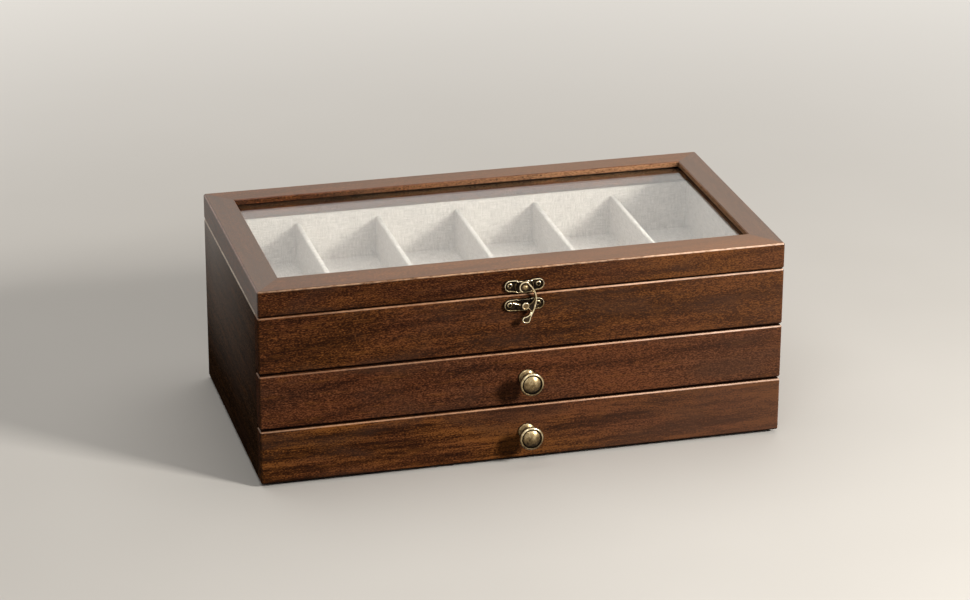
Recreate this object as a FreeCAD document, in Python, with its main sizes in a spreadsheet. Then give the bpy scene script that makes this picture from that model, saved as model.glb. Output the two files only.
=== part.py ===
import FreeCAD, Part
import math
import os

import Sketcher

# Knife display case: a tray of six lined compartments under a glazed lid, over two drawers.
# Millimetres, +X to the right, +Y to the rear, +Z up.
# The origin is on the table, under the middle of the wooden body.

COMPARTMENTS = 6

SIZES = {
    # wooden body
    "case_width": 350.0,
    "case_depth": 187.3,
    "wall_thick": 7.5,
    "front_thick": 10.0,
    "edge_round": 1.5,
    "felt_thick": 2.0,
    "felt_inset": 3.0,
    "board_thick": 4.0,
    # front, from the bottom up
    "lower_front_height": 36.8,
    "upper_front_height": 36.9,
    "top_front_height": 38.7,
    "front_gap": 1.2,
    "front_lift": 0.4,
    "seat_gap": 0.3,
    # tray
    "lining_thick": 1.4,
    "lining_drop": 2.0,
    "divider_thick": 3.5,
    "divider_drop": 7.6,
    "divider_round": 1.2,
    # lid
    "lid_gap": 0.4,
    "lid_height": 17.6,
    "rail_width": 18.0,
    "front_rail_width": 22.4,
    "lip_thick": 4.3,
    "lid_wall": 9.0,
    "inner_bevel": 0.6,
    "glass_thick": 2.0,
    "glass_play": 0.4,
    "bead_width": 4.5,
    "bead_thick": 4.0,
    # drawers
    "drawer_play": 0.5,
    "drawer_lift": 0.3,
    "drawer_headroom": 0.8,
    "drawer_wall": 6.0,
    "drawer_bottom_thick": 3.0,
    "drawer_lining_thick": 1.2,
    "drawer_lining_drop": 1.0,
    "drawer_back_gap": 4.0,
    # knobs
    "knob_right_shift": 1.0,
    "knob_flange_radius": 6.1,
    "knob_flange_thick": 1.6,
    "knob_neck_radius": 3.0,
    "knob_head_radius": 8.0,
    "knob_rim_level": 13.6,
    "knob_groove_radius": 6.6,
    "knob_groove_drop": 1.3,
    "knob_dome_radius": 5.6,
    "knob_length": 15.2,
    "knob_bore_depth": 7.0,
    "knob_screw_radius": 1.9,
    "knob_screw_head_radius": 3.6,
    "knob_screw_head_thick": 2.2,
    "bore_play": 0.05,
    # hinges
    "hinge_end_distance": 65.0,
    "hinge_width": 30.0,
    "leaf_thick": 1.0,
    "leaf_margin": 1.1,
    "knuckle_radius": 2.2,
    "knuckle_gap": 0.3,
    "middle_knuckle": 10.0,
    "hinge_pin_radius": 0.9,
    "hinge_pin_play": 0.06,
    "pin_head_radius": 1.4,
    "pin_head_thick": 0.6,
    "pin_end_play": 0.1,
    "hinge_screw_spacing": 20.0,
    "hinge_screw_radius": 0.8,
    "hinge_screw_head_radius": 1.6,
    "hinge_screw_length": 6.0,
    # latch plates
    "latch_left_shift": 1.6,
    "plate_rise": 6.4,
    "plate_drop": 6.85,
    "plate_screw_spacing": 18.8,
    "plate_lobe_radius": 3.9,
    "plate_waist_top": 2.8,
    "plate_waist_low": 3.6,
    "plate_thick": 1.3,
    "plate_rim": 0.8,
    "plate_recess": 0.5,
    "plate_middle_radius": 6.2,
    "plate_middle_reach": 4.0,
    "plate_boss_rise": 0.9,
    "pivot_drop": 0.95,
    "rivet_radius": 1.1,
    "rivet_depth": 4.0,
    "rivet_head_radius": 2.3,
    "rivet_head_thick": 1.4,
    "rivet_play": 0.06,
    "post_radius": 1.1,
    "post_play": 0.4,
    "post_head_gap": 0.3,
    "post_head_radius": 2.4,
    "post_head_thick": 1.3,
    "post_head_round": 0.5,
    # latch hook
    "hook_gap": 0.15,
    "hook_thick": 1.3,
    "hook_reach": 12.3,
    "hook_ring_radius": 4.1,
    "hook_arm_radius": 15.6,
    "hook_arm_end_x": 4.9,
    "hook_arm_end_drop": 17.3,
    "hook_mouth_radius": 5.0,
    "hook_mouth_start_x": 3.6,
    "hook_lip_x": 3.0,
    "hook_lip_rise": 1.3,
    "hook_tail_drop": 24.3,
    "hook_tail_width": 1.7,
    "hook_tip_left": 2.6,
    "hook_tip_right": 3.1,
    "hook_tip_height": 4.4,
    # latch screws
    "latch_screw_radius": 0.9,
    "latch_screw_head_radius": 1.75,
    "latch_screw_head_thick": 0.9,
    "latch_screw_length": 6.0,
    "screw_slot_width": 0.6,
    "screw_slot_depth": 0.5,
}


class Size:
    """A length that knows its value and the expression that it is worked out by."""

    def __init__(self, value, text=None):
        self.value = float(value)
        self.text = text or repr(float(value))

    def combine(self, other, sign, value):
        return Size(value, f"({self.text} {sign} {other.text})")

    def __add__(self, other):
        other = as_size(other)
        return self.combine(other, "+", self.value + other.value)

    def __sub__(self, other):
        other = as_size(other)
        return self.combine(other, "-", self.value - other.value)

    def __mul__(self, other):
        other = as_size(other)
        return self.combine(other, "*", self.value * other.value)

    def __truediv__(self, other):
        other = as_size(other)
        return self.combine(other, "/", self.value / other.value)

    def __neg__(self):
        return as_size(0) - self

    def __radd__(self, other):
        return as_size(other) + self

    def __rsub__(self, other):
        return as_size(other) - self

    def __rmul__(self, other):
        return as_size(other) * self


def as_size(value):
    return value if isinstance(value, Size) else Size(value)


def root(size):
    return Size(math.sqrt(size.value), f"sqrt({size.text})")


class Sheet:
    """The document's sheet of driving sizes, each one readable by its name."""

    def __init__(self, document, sizes):
        sheet = document.addObject("Spreadsheet::Sheet", "Sizes")
        for row, (name, value) in enumerate(sizes.items(), 1):
            sheet.set(f"A{row}", name)
            sheet.set(f"B{row}", str(value))
            sheet.setAlias(f"B{row}", name)
            setattr(self, name, Size(value, f"Sizes.{name}"))


doc = FreeCAD.newDocument("knife_display_case")
s = Sheet(doc, SIZES)
doc.recompute()
nodes = {}

# Turns local +Z towards the front, -Z towards the table, or +Z towards the right.
UPRIGHT = FreeCAD.Rotation(0, 0, 0)
FORWARD = FreeCAD.Rotation(FreeCAD.Vector(1, 0, 0), 90)
DOWNWARD = FreeCAD.Rotation(FreeCAD.Vector(1, 0, 0), 180)
SIDEWAYS = FreeCAD.Rotation(FreeCAD.Vector(0, 1, 0), 90)


def bind(target, path, size):
    target.setExpression(path, as_size(size).text)


def place(target, corner, rotation=UPRIGHT):
    target.Placement = FreeCAD.Placement(FreeCAD.Vector(), rotation)
    for axis, size in zip("xyz", corner):
        bind(target, f"Placement.Base.{axis}", size)
    return target


def keep(target, name):
    """Makes an object a sub-part of its own."""
    target.Label = name
    nodes[name] = target
    return target


def add_box(name, corner, lengths):
    box = doc.addObject("Part::Box", name)
    for path, size in zip(("Length", "Width", "Height"), lengths):
        bind(box, path, size)
    return place(box, corner)


def add_cylinder(name, radius, height, corner, rotation=UPRIGHT):
    cylinder = doc.addObject("Part::Cylinder", name)
    bind(cylinder, "Radius", radius)
    bind(cylinder, "Height", height)
    return place(cylinder, corner, rotation)


def add_fuse(name, shapes):
    fuse = doc.addObject("Part::MultiFuse", name)
    fuse.Shapes = shapes
    fuse.Refine = True
    return fuse


def add_cut(name, base, tools):
    cut = doc.addObject("Part::Cut", name)
    cut.Base = base
    cut.Tool = tools[0] if len(tools) == 1 else add_fuse(f"{name}_tools", tools)
    return cut


def add_group(name, members):
    group = doc.addObject("Part::Compound", name)
    group.Links = members
    return group


def add_body(name, corner, rotation=UPRIGHT):
    return place(doc.addObject("PartDesign::Body", name), corner, rotation)


def add_sketch(body, name, role="XY_Plane", level=0):
    sketch = body.newObject("Sketcher::SketchObject", f"{body.Name}_{name}_sketch")
    planes = [item for item in body.Origin.OriginFeatures if item.Role == role]
    sketch.AttachmentSupport = (planes[0], "")
    sketch.MapMode = "FlatFace"
    bind(sketch, "AttachmentOffset.Base.z", level)
    return sketch


def fix(sketch, kind, where, name, size):
    """Gives one measure of a sketch to a size."""
    size = as_size(size)
    number = sketch.addConstraint(Sketcher.Constraint(kind, *where, size.value))
    sketch.renameConstraint(number, name)
    bind(sketch, f"Constraints.{name}", size)


def draw_circle(sketch, centre, radius):
    x, y = map(as_size, centre)
    radius = as_size(radius)
    middle = FreeCAD.Vector(x.value, y.value, 0)
    number = sketch.addGeometry(Part.Circle(middle, FreeCAD.Vector(0, 0, 1), radius.value))
    fix(sketch, "DistanceX", (number, 3), f"x{number}_at", x)
    fix(sketch, "DistanceY", (number, 3), f"y{number}_at", y)
    fix(sketch, "Radius", (number,), f"r{number}_at", radius)


def arc_side(start, end, radius):
    """An arc from start to end: a positive radius turns left on the way, a negative one right."""
    chord = end - start
    half = chord.Length / 2
    across = FreeCAD.Vector(-chord.y, chord.x, 0).normalize()
    height = math.sqrt(max(radius * radius - half * half, 0))
    centre = (start + end) / 2 + across * math.copysign(height, radius)
    circle = Part.Circle(centre, FreeCAD.Vector(0, 0, 1), abs(radius))
    first, last = (start, end) if radius > 0 else (end, start)
    return Part.ArcOfCircle(circle, circle.parameter(first), circle.parameter(last))


def draw_outline(sketch, corners):
    """A closed outline: a corner is (x, y), or (x, y, radius) where an arc leaves it."""
    points = [FreeCAD.Vector(as_size(c[0]).value, as_size(c[1]).value, 0) for c in corners]
    ends = []
    for i, corner in enumerate(corners):
        start = points[i]
        end = points[(i + 1) % len(corners)]
        if len(corner) == 2:
            number = sketch.addGeometry(Part.LineSegment(start, end))
            ends.append((number, 1, 2))
            continue
        radius = as_size(corner[2])
        number = sketch.addGeometry(arc_side(start, end, radius.value))
        ends.append((number, 1, 2) if radius.value > 0 else (number, 2, 1))
        size = radius if radius.value > 0 else -radius
        fix(sketch, "Radius", (number,), f"r{number}_at", size)
    for i, (number, first, last) in enumerate(ends):
        before, start, stop = ends[i - 1]
        sketch.addConstraint(Sketcher.Constraint("Coincident", before, stop, number, first))
        fix(sketch, "DistanceX", (number, first), f"x{number}_at", corners[i][0])
        fix(sketch, "DistanceY", (number, first), f"y{number}_at", corners[i][1])


def rectangle(left, low, right, high):
    return [(left, low), (right, low), (right, high), (left, high)]


def add_profile(body, name, level, outlines, circles):
    sketch = add_sketch(body, name, level=level)
    for outline in outlines:
        draw_outline(sketch, outline)
    for centre, radius in circles:
        draw_circle(sketch, centre, radius)
    return sketch


def add_pad(body, name, height, outlines=(), circles=(), level=0):
    """Builds outlines and circles up from a level of the body."""
    sketch = add_profile(body, name, level, outlines, circles)
    pad = body.newObject("PartDesign::Pad", f"{body.Name}_{name}")
    pad.Profile = sketch
    bind(pad, "Length", height)
    return pad


def add_pocket(body, name, depth, level, outlines=(), circles=()):
    """Cuts outlines and circles into the body, down from a level."""
    sketch = add_profile(body, name, level, outlines, circles)
    pocket = body.newObject("PartDesign::Pocket", f"{body.Name}_{name}")
    pocket.Profile = sketch
    bind(pocket, "Length", depth)
    return pocket


def add_turning(body, name, outline):
    """Turns an outline of (radius, height) corners about the body's own Z axis."""
    sketch = add_sketch(body, name, "XZ_Plane")
    draw_outline(sketch, outline)
    turning = body.newObject("PartDesign::Revolution", f"{body.Name}_{name}")
    turning.Profile = sketch
    turning.ReferenceAxis = (sketch, ["V_Axis"])
    turning.Angle = 360
    return turning


def dress_edges(body, name, kind, measure, size, chosen):
    """Rounds or bevels the edges of the last feature that the test picks."""
    doc.recompute()
    base = body.Tip
    names = [f"Edge{i}" for i, edge in enumerate(base.Shape.Edges, 1) if chosen(edge)]
    dressing = body.newObject(f"PartDesign::{kind}", f"{body.Name}_{name}")
    dressing.Base = (base, names)
    bind(dressing, measure, size)
    return dressing


def round_edges(body, name, radius, chosen):
    return dress_edges(body, name, "Fillet", "Radius", radius, chosen)


def bevel_edges(body, name, size, chosen):
    return dress_edges(body, name, "Chamfer", "Size", size, chosen)


def reaches(edge, axis, level):
    """True where the whole edge lies at one level along an axis."""
    return all(abs(getattr(v.Point, axis) - level.value) < 1e-6 for v in edge.Vertexes)


# Levels and faces that several pieces share.
left = -s.case_width / 2
right = s.case_width / 2
front = -s.case_depth / 2
back = s.case_depth / 2
inside_left = left + s.wall_thick
inside_right = right - s.wall_thick
inside_front = front + s.front_thick
inside_back = back - s.wall_thick
body_low = s.felt_thick
lower_front_low = body_low + s.front_lift
lower_front_top = lower_front_low + s.lower_front_height
upper_front_low = lower_front_top + s.front_gap
upper_front_top = upper_front_low + s.upper_front_height
top_front_low = upper_front_top + s.front_gap
rim = top_front_low + s.top_front_height
lid_low = rim + s.lid_gap
lid_top = lid_low + s.lid_height
parting = rim + s.lid_gap / 2
shelf_low = (lower_front_top + upper_front_low) / 2 - s.board_thick / 2
tray_low = (upper_front_top + top_front_low) / 2 - s.board_thick / 2
tray_top = tray_low + s.board_thick


def add_board(name, low, high, chosen=None, radius=None):
    """An upright or flat board between two corners, with the chosen edges rounded."""
    lengths = [b - a for a, b in zip(low, high)]
    body = add_body(name, low)
    add_pad(body, "blank", lengths[2], [rectangle(0, 0, lengths[0], lengths[1])])
    if chosen:
        round_edges(body, "rounding", radius or s.edge_round, lambda edge: chosen(edge, lengths))
    return body


def add_facing(name, low, high, thick):
    """A board across the front: its front edges and its end edges are rounded."""
    body = add_body(name, (left, front + thick, low), FORWARD)
    height = high - low
    add_pad(body, "blank", thick, [rectangle(0, 0, s.case_width, height)])
    round_edges(body, "rounding", s.edge_round, lambda edge: not reaches(edge, "z", as_size(0)))
    return body


# The felt sheet and the boards of the case.
felt_front = inside_front + s.felt_inset
keep(add_box("base_felt", (left + s.felt_inset, felt_front, 0),
             (s.case_width - 2 * s.felt_inset, back - s.felt_inset - felt_front, s.felt_thick)),
     "base_felt")


def add_inner_board(name, low):
    corner = (inside_left, inside_front, low)
    lengths = (inside_right - inside_left, inside_back - inside_front, s.board_thick)
    keep(add_box(name, corner, lengths), name)


add_inner_board("base_board", body_low)
add_inner_board("drawer_shelf", shelf_low)
add_inner_board("tray_floor", tray_low)


def outer_edges_of_side(outer_x):
    def chosen(edge, lengths):
        level = lengths[0] if outer_x else as_size(0)
        return reaches(edge, "x", level) and not reaches(edge, "y", as_size(0))
    return chosen


keep(add_board("side_panel_left", (left, inside_front, body_low), (inside_left, back, rim),
               outer_edges_of_side(False)), "side_panel_left")
keep(add_board("side_panel_right", (inside_right, inside_front, body_low), (right, back, rim),
               outer_edges_of_side(True)), "side_panel_right")


# Where the hinges and the latch are.
hinge_middles = (left + s.hinge_end_distance, right - s.hinge_end_distance)
leaf_depth = s.wall_thick - s.leaf_margin
leaf_front = back - leaf_depth
hinge_y = back + s.knuckle_radius + s.knuckle_gap
hinge_screw_y = back - leaf_depth / 2
plate_level = parting + s.plate_rise
keeper_level = parting - s.plate_drop
pivot_level = plate_level - s.pivot_drop
post_level = pivot_level - s.hook_reach
plate_face = s.plate_thick - s.plate_recess
hook_low = s.plate_thick + s.plate_boss_rise + s.hook_gap
hook_top = hook_low + s.hook_thick
latch_x = -s.latch_left_shift
knob_x = s.knob_right_shift


def hinge_screw_places():
    for middle in hinge_middles:
        yield middle - s.hinge_screw_spacing / 2
        yield middle + s.hinge_screw_spacing / 2


def leaf_seats(name, low):
    """The mortises of both hinge leaves, one leaf thick, up from a level."""
    return [add_box(f"{name}_seat_{i}", (middle - s.hinge_width / 2, leaf_front, low),
                    (s.hinge_width, leaf_depth + s.knuckle_gap, s.leaf_thick))
            for i, middle in enumerate(hinge_middles, 1)]


def hinge_screw_holes(name, low):
    return [add_cylinder(f"{name}_pilot_{i}", s.hinge_screw_radius + s.bore_play,
                         s.hinge_screw_length, (x, hinge_screw_y, low))
            for i, x in enumerate(hinge_screw_places(), 1)]


def plate_screw_places():
    return (-s.plate_screw_spacing / 2, s.plate_screw_spacing / 2)


# The back board is let in for the lower hinge leaves.
back_blank = add_board("back_blank", (inside_left, inside_back, body_low),
                       (inside_right, back, rim),
                       lambda edge, lengths: reaches(edge, "y", lengths[1])
                       and (reaches(edge, "z", as_size(0)) or reaches(edge, "z", lengths[2])))
keep(add_cut("back_panel", back_blank, leaf_seats("back_panel", rim - s.leaf_thick)
             + hinge_screw_holes("back_panel", rim - s.hinge_screw_length)), "back_panel")

# The fixed front board carries the keeper of the latch.
front_board = add_facing("front_panel", top_front_low, rim, s.front_thick)
keeper_in_board = keeper_level - top_front_low
add_pocket(front_board, "pilots", s.latch_screw_length, s.front_thick,
           circles=[((latch_x + x - left, keeper_in_board), s.latch_screw_radius + s.bore_play)
                    for x in plate_screw_places()])
add_pocket(front_board, "post_hole", s.rivet_depth, s.front_thick,
           circles=[((latch_x - left, post_level - top_front_low), s.post_radius + s.bore_play)])
keep(front_board, "front_panel")


# The lining of the tray: boards wrapped in cloth, and the dividers between them.
lining_low = tray_top + s.lining_thick
lining_top = rim - s.lining_drop
tray_left = inside_left + s.lining_thick
tray_right = inside_right - s.lining_thick
tray_front = inside_front + s.lining_thick
tray_back = inside_back - s.lining_thick


def add_lining(name, low, high):
    keep(add_box(name, low, [b - a for a, b in zip(low, high)]), name)


add_lining("lining_floor", (inside_left, inside_front, tray_top),
           (inside_right, inside_back, lining_low))
add_lining("lining_left", (inside_left, inside_front, lining_low),
           (tray_left, inside_back, lining_top))
add_lining("lining_right", (tray_right, inside_front, lining_low),
           (inside_right, inside_back, lining_top))
add_lining("lining_front", (tray_left, inside_front, lining_low),
           (tray_right, tray_front, lining_top))
add_lining("lining_back", (tray_left, tray_back, lining_low),
           (tray_right, inside_back, lining_top))

dividers = COMPARTMENTS - 1
divider_top = rim - s.divider_drop
compartment = (tray_right - tray_left - dividers * s.divider_thick) / COMPARTMENTS
for number in range(1, COMPARTMENTS):
    divider_left = tray_left + number * compartment + (number - 1) * s.divider_thick
    keep(add_board(f"divider_{number}", (divider_left, tray_front, lining_low),
                   (divider_left + s.divider_thick, tray_back, divider_top),
                   lambda edge, lengths: reaches(edge, "z", lengths[2])
                   and edge.Length > lengths[0].value * 2, s.divider_round),
         f"divider_{number}")


# The lid frame is one ring of rail that four mitred blocks divide.
ring = add_body("lid_ring", (left, front, lid_low))
add_pad(ring, "blank", s.lid_height, [rectangle(0, 0, s.case_width, s.case_depth)])
round_edges(ring, "outer_rounding", s.edge_round, lambda edge: True)
add_pocket(ring, "window", s.lid_height, s.lid_height,
           [rectangle(s.rail_width, s.front_rail_width,
                      s.case_width - s.rail_width, s.case_depth - s.rail_width)])
bevel_edges(ring, "inner_bevel", s.inner_bevel,
            lambda edge: reaches(edge, "z", s.lid_height)
            and abs(edge.CenterOfMass.x - s.case_width.value / 2)
            < s.case_width.value / 2 - s.edge_round.value * 2
            and abs(edge.CenterOfMass.y - s.case_depth.value / 2)
            < s.case_depth.value / 2 - s.edge_round.value * 2)
rebate = s.lid_height - s.lip_thick
add_pocket(ring, "rebate", rebate, rebate,
           [rectangle(s.lid_wall, s.lid_wall,
                      s.case_width - s.lid_wall, s.case_depth - s.lid_wall)])


def add_mitre_block(name, length, width, first_mitre, last_mitre, corner, turn):
    """A block one rail wide: its mitres run through the middles of the corners' roundings."""
    block = doc.addObject("Part::Wedge", name)
    first, last = [s.edge_round - s.edge_round * (mitre - s.edge_round) / (width - s.edge_round)
                   for mitre in (first_mitre, last_mitre)]
    for path, size in (("Xmin", first), ("Xmax", length - last), ("Ymin", 0), ("Ymax", width),
                       ("Zmin", 0), ("Zmax", s.lid_height),
                       ("X2min", first_mitre), ("X2max", length - last_mitre),
                       ("Z2min", 0), ("Z2max", s.lid_height)):
        bind(block, path, size)
    return place(block, corner, FreeCAD.Rotation(FreeCAD.Vector(0, 0, 1), turn))


def add_rail(name, length, width, mitres, corner, turn):
    rail = doc.addObject("Part::Common", name)
    rail.Base = ring
    rail.Tool = add_mitre_block(f"{name}_block", length, width, *mitres, corner, turn)
    return rail


side_mitres = (s.rail_width, s.rail_width)
keep(add_rail("lid_rail_left", s.case_depth, s.rail_width, (s.rail_width, s.front_rail_width),
              (left, back, lid_low), -90), "lid_rail_left")
keep(add_rail("lid_rail_right", s.case_depth, s.rail_width, (s.front_rail_width, s.rail_width),
              (right, front, lid_low), 90), "lid_rail_right")
front_rail = add_rail("front_rail_blank", s.case_width, s.front_rail_width, side_mitres,
                      (left, front, lid_low), 0)
back_rail = add_rail("back_rail_blank", s.case_width, s.rail_width, side_mitres,
                     (right, back, lid_low), 180)
latch_pilots = [add_cylinder(f"latch_pilot_{i}", s.latch_screw_radius + s.bore_play,
                             s.latch_screw_length,
                             (latch_x + x, front + s.latch_screw_length, plate_level), FORWARD)
                for i, x in enumerate(plate_screw_places(), 1)]
rivet_hole = add_cylinder("rivet_hole", s.rivet_radius + s.bore_play, s.rivet_depth,
                          (latch_x, front + s.rivet_depth, pivot_level), FORWARD)
keep(add_cut("lid_rail_front", front_rail, latch_pilots + [rivet_hole]), "lid_rail_front")
keep(add_cut("lid_rail_back", back_rail, leaf_seats("lid_rail_back", lid_low)
             + hinge_screw_holes("lid_rail_back", lid_low)), "lid_rail_back")


# The glass lies in the rebate, and four beads hold it up from below.
glass_top = lid_top - s.lip_thick
glass_low = glass_top - s.glass_thick
pane_inset = s.lid_wall + s.glass_play
keep(add_box("lid_glass", (left + pane_inset, front + pane_inset, glass_low),
             (s.case_width - 2 * pane_inset, s.case_depth - 2 * pane_inset, s.glass_thick)),
     "lid_glass")

bead_low = glass_low - s.bead_thick
bead_left = left + s.lid_wall
bead_right = right - s.lid_wall
bead_front = front + s.lid_wall
bead_back = back - s.lid_wall
long_bead = (bead_right - bead_left, s.bead_width, s.bead_thick)
short_bead = (s.bead_width, bead_back - bead_front - 2 * s.bead_width, s.bead_thick)
for name, corner, lengths in (
        ("glass_bead_front", (bead_left, bead_front, bead_low), long_bead),
        ("glass_bead_back", (bead_left, bead_back - s.bead_width, bead_low), long_bead),
        ("glass_bead_left", (bead_left, bead_front + s.bead_width, bead_low), short_bead),
        ("glass_bead_right", (bead_right - s.bead_width, bead_front + s.bead_width, bead_low),
         short_bead)):
    keep(add_box(name, corner, lengths), name)


# Hinges: each leaf is a sheet let into its board, with tabs that carry its knuckles.
outer_knuckle = (s.hinge_width - s.middle_knuckle) / 2 - s.knuckle_gap


def add_leaf(name, middle, low, knuckles, bore, head_up):
    """A leaf between two levels; knuckles are (start from the middle, length) pairs."""
    parts = [add_box(f"{name}_sheet", (middle - s.hinge_width / 2, leaf_front, low),
                     (s.hinge_width, leaf_depth, s.leaf_thick))]
    for i, (start, length) in enumerate(knuckles, 1):
        parts.append(add_box(f"{name}_tab_{i}", (middle + start, back, low),
                             (length, hinge_y - back, s.leaf_thick)))
        parts.append(add_cylinder(f"{name}_knuckle_{i}", s.knuckle_radius, length,
                                  (middle + start, hinge_y, parting), SIDEWAYS))
    tools = [add_cylinder(f"{name}_bore", bore, s.hinge_width,
                          (middle - s.hinge_width / 2, hinge_y, parting), SIDEWAYS)]
    for i, side in enumerate((-1, 1), 1):
        sink = doc.addObject("Part::Cone", f"{name}_sink_{i}")
        wide = s.hinge_screw_head_radius + s.bore_play
        narrow = s.hinge_screw_radius + s.bore_play
        bind(sink, "Radius1", narrow if head_up else wide)
        bind(sink, "Radius2", wide if head_up else narrow)
        bind(sink, "Height", s.leaf_thick)
        tools.append(place(sink, (middle + side * s.hinge_screw_spacing / 2, hinge_screw_y, low)))
    return keep(add_cut(name, add_fuse(f"{name}_blank", parts), tools), name)


middle_knuckle = [(-s.middle_knuckle / 2, s.middle_knuckle)]
outer_knuckles = [(-s.hinge_width / 2, outer_knuckle),
                  (s.hinge_width / 2 - outer_knuckle, outer_knuckle)]
for side, middle in zip(("left", "right"), hinge_middles):
    add_leaf(f"hinge_{side}_case_leaf", middle, rim - s.leaf_thick, outer_knuckles,
             s.hinge_pin_radius + s.hinge_pin_play, True)
    add_leaf(f"hinge_{side}_lid_leaf", middle, lid_low, middle_knuckle,
             s.hinge_pin_radius + s.bore_play, False)


def add_pin(name, middle):
    shank = s.hinge_width / 2 + s.pin_end_play
    end = shank + s.pin_head_thick
    body = add_body(name, (middle, hinge_y, parting), SIDEWAYS)
    add_turning(body, "turning", [
        (0, -end), (s.pin_head_radius, -end), (s.pin_head_radius, -shank),
        (s.hinge_pin_radius, -shank), (s.hinge_pin_radius, shank),
        (s.pin_head_radius, shank), (s.pin_head_radius, end), (0, end)])
    return body


keep(add_group("hinge_pins", [add_pin(f"hinge_pin_{i}", middle)
                              for i, middle in enumerate(hinge_middles, 1)]), "hinge_pins")


# Screws: the head's top or its underside is at the screw's own zero.
def add_cross(body, reach, top):
    """The cross recess in a screw's head."""
    half = s.screw_slot_width / 2
    for name, outline in (("slot_one", rectangle(-reach, -half, reach, half)),
                          ("slot_two", rectangle(-half, -reach, half, reach))):
        add_pocket(body, name, s.screw_slot_depth, top, [outline])


def add_flat_screw(name, corner, rotation):
    radius = s.hinge_screw_radius
    body = add_body(name, corner, rotation)
    add_turning(body, "turning", [
        (0, -s.hinge_screw_length), (radius / 2, -s.hinge_screw_length),
        (radius, radius * 2 - s.hinge_screw_length), (radius, -s.leaf_thick),
        (s.hinge_screw_head_radius, 0), (0, 0)])
    add_cross(body, s.hinge_screw_head_radius * 0.6, 0)
    return body


def add_round_screw(name, corner, radius, length, head_radius, head_thick, slot_reach=0.62):
    """A screw with a domed head that points to the front."""
    dome = (head_radius * head_radius + head_thick * head_thick) / (2 * head_thick)
    body = add_body(name, corner, FORWARD)
    add_turning(body, "turning", [
        (0, -length), (radius / 2, -length), (radius, radius * 2 - length), (radius, 0),
        (head_radius, 0, dome), (0, head_thick)])
    add_cross(body, head_radius * slot_reach, head_thick)
    return body


keep(add_group("hinge_case_screws",
               [add_flat_screw(f"hinge_case_screw_{i}", (x, hinge_screw_y, rim), UPRIGHT)
                for i, x in enumerate(hinge_screw_places(), 1)]), "hinge_case_screws")
keep(add_group("hinge_lid_screws",
               [add_flat_screw(f"hinge_lid_screw_{i}", (x, hinge_screw_y, lid_low), DOWNWARD)
                for i, x in enumerate(hinge_screw_places(), 1)]), "hinge_lid_screws")


def add_plate_screws(name, level):
    screws = [add_round_screw(f"{name}_{i}", (latch_x + x, front - plate_face, level),
                              s.latch_screw_radius, s.latch_screw_length,
                              s.latch_screw_head_radius, s.latch_screw_head_thick)
              for i, x in enumerate(plate_screw_places(), 1)]
    keep(add_group(name, screws), name)


add_plate_screws("latch_screws", plate_level)
add_plate_screws("keeper_screws", keeper_level)


# Latch plates: two round lobes joined by a waist, with raised rims and a broad middle.
def add_plate(name, level, middle, middle_thick, middle_radius):
    """A latch plate whose middle hole lies a little way below its screw line."""
    body = add_body(name, (latch_x, front, level), FORWARD)
    reach = s.plate_screw_spacing / 2
    lobes = plate_screw_places()
    round_side = s.plate_middle_radius
    half = root(round_side * round_side - s.plate_middle_reach * s.plate_middle_reach)
    low = -middle - s.plate_middle_reach
    high = s.plate_middle_reach - middle
    add_pad(body, "waist", s.plate_thick,
            [rectangle(-reach, -s.plate_waist_low, reach, s.plate_waist_top)])
    add_pad(body, "lobes", s.plate_thick,
            circles=[((x, 0), s.plate_lobe_radius) for x in lobes])
    add_pad(body, "middle", middle_thick,
            [[(-half, low), (half, low, round_side), (half, high), (-half, high, round_side)]])
    add_pocket(body, "recess", s.plate_recess, s.plate_thick,
               circles=[((x, 0), s.plate_lobe_radius - s.plate_rim) for x in lobes])
    add_pocket(body, "screw_holes", s.plate_thick, s.plate_thick,
               circles=[((x, 0), s.latch_screw_radius + s.bore_play) for x in lobes])
    add_pocket(body, "middle_hole", middle_thick, middle_thick,
               circles=[((0, -middle), middle_radius + s.bore_play)])
    return keep(body, name)


add_plate("latch_plate", plate_level, s.pivot_drop, s.plate_thick + s.plate_boss_rise,
          s.rivet_radius)
add_plate("keeper_plate", keeper_level, keeper_level - post_level, s.plate_thick, s.post_radius)

rivet_head = hook_top + s.hook_gap
rivet_dome = ((s.rivet_head_radius * s.rivet_head_radius
               + s.rivet_head_thick * s.rivet_head_thick) / (2 * s.rivet_head_thick))
rivet = add_body("latch_rivet", (latch_x, front, pivot_level), FORWARD)
add_turning(rivet, "turning", [
    (0, -s.rivet_depth), (s.rivet_radius, -s.rivet_depth), (s.rivet_radius, rivet_head),
    (s.rivet_head_radius, rivet_head, rivet_dome), (0, rivet_head + s.rivet_head_thick)])
keep(rivet, "latch_rivet")

post_head = hook_top + s.post_head_gap
post_top = post_head + s.post_head_thick
post = add_body("keeper_post", (latch_x, front, post_level), FORWARD)
add_turning(post, "turning", [
    (0, -s.rivet_depth), (s.post_radius, -s.rivet_depth), (s.post_radius, post_head),
    (s.post_head_radius, post_head), (s.post_head_radius, post_top - s.post_head_round,
                                      s.post_head_round),
    (s.post_head_radius - s.post_head_round, post_top), (0, post_top)])
keep(post, "keeper_post")


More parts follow.
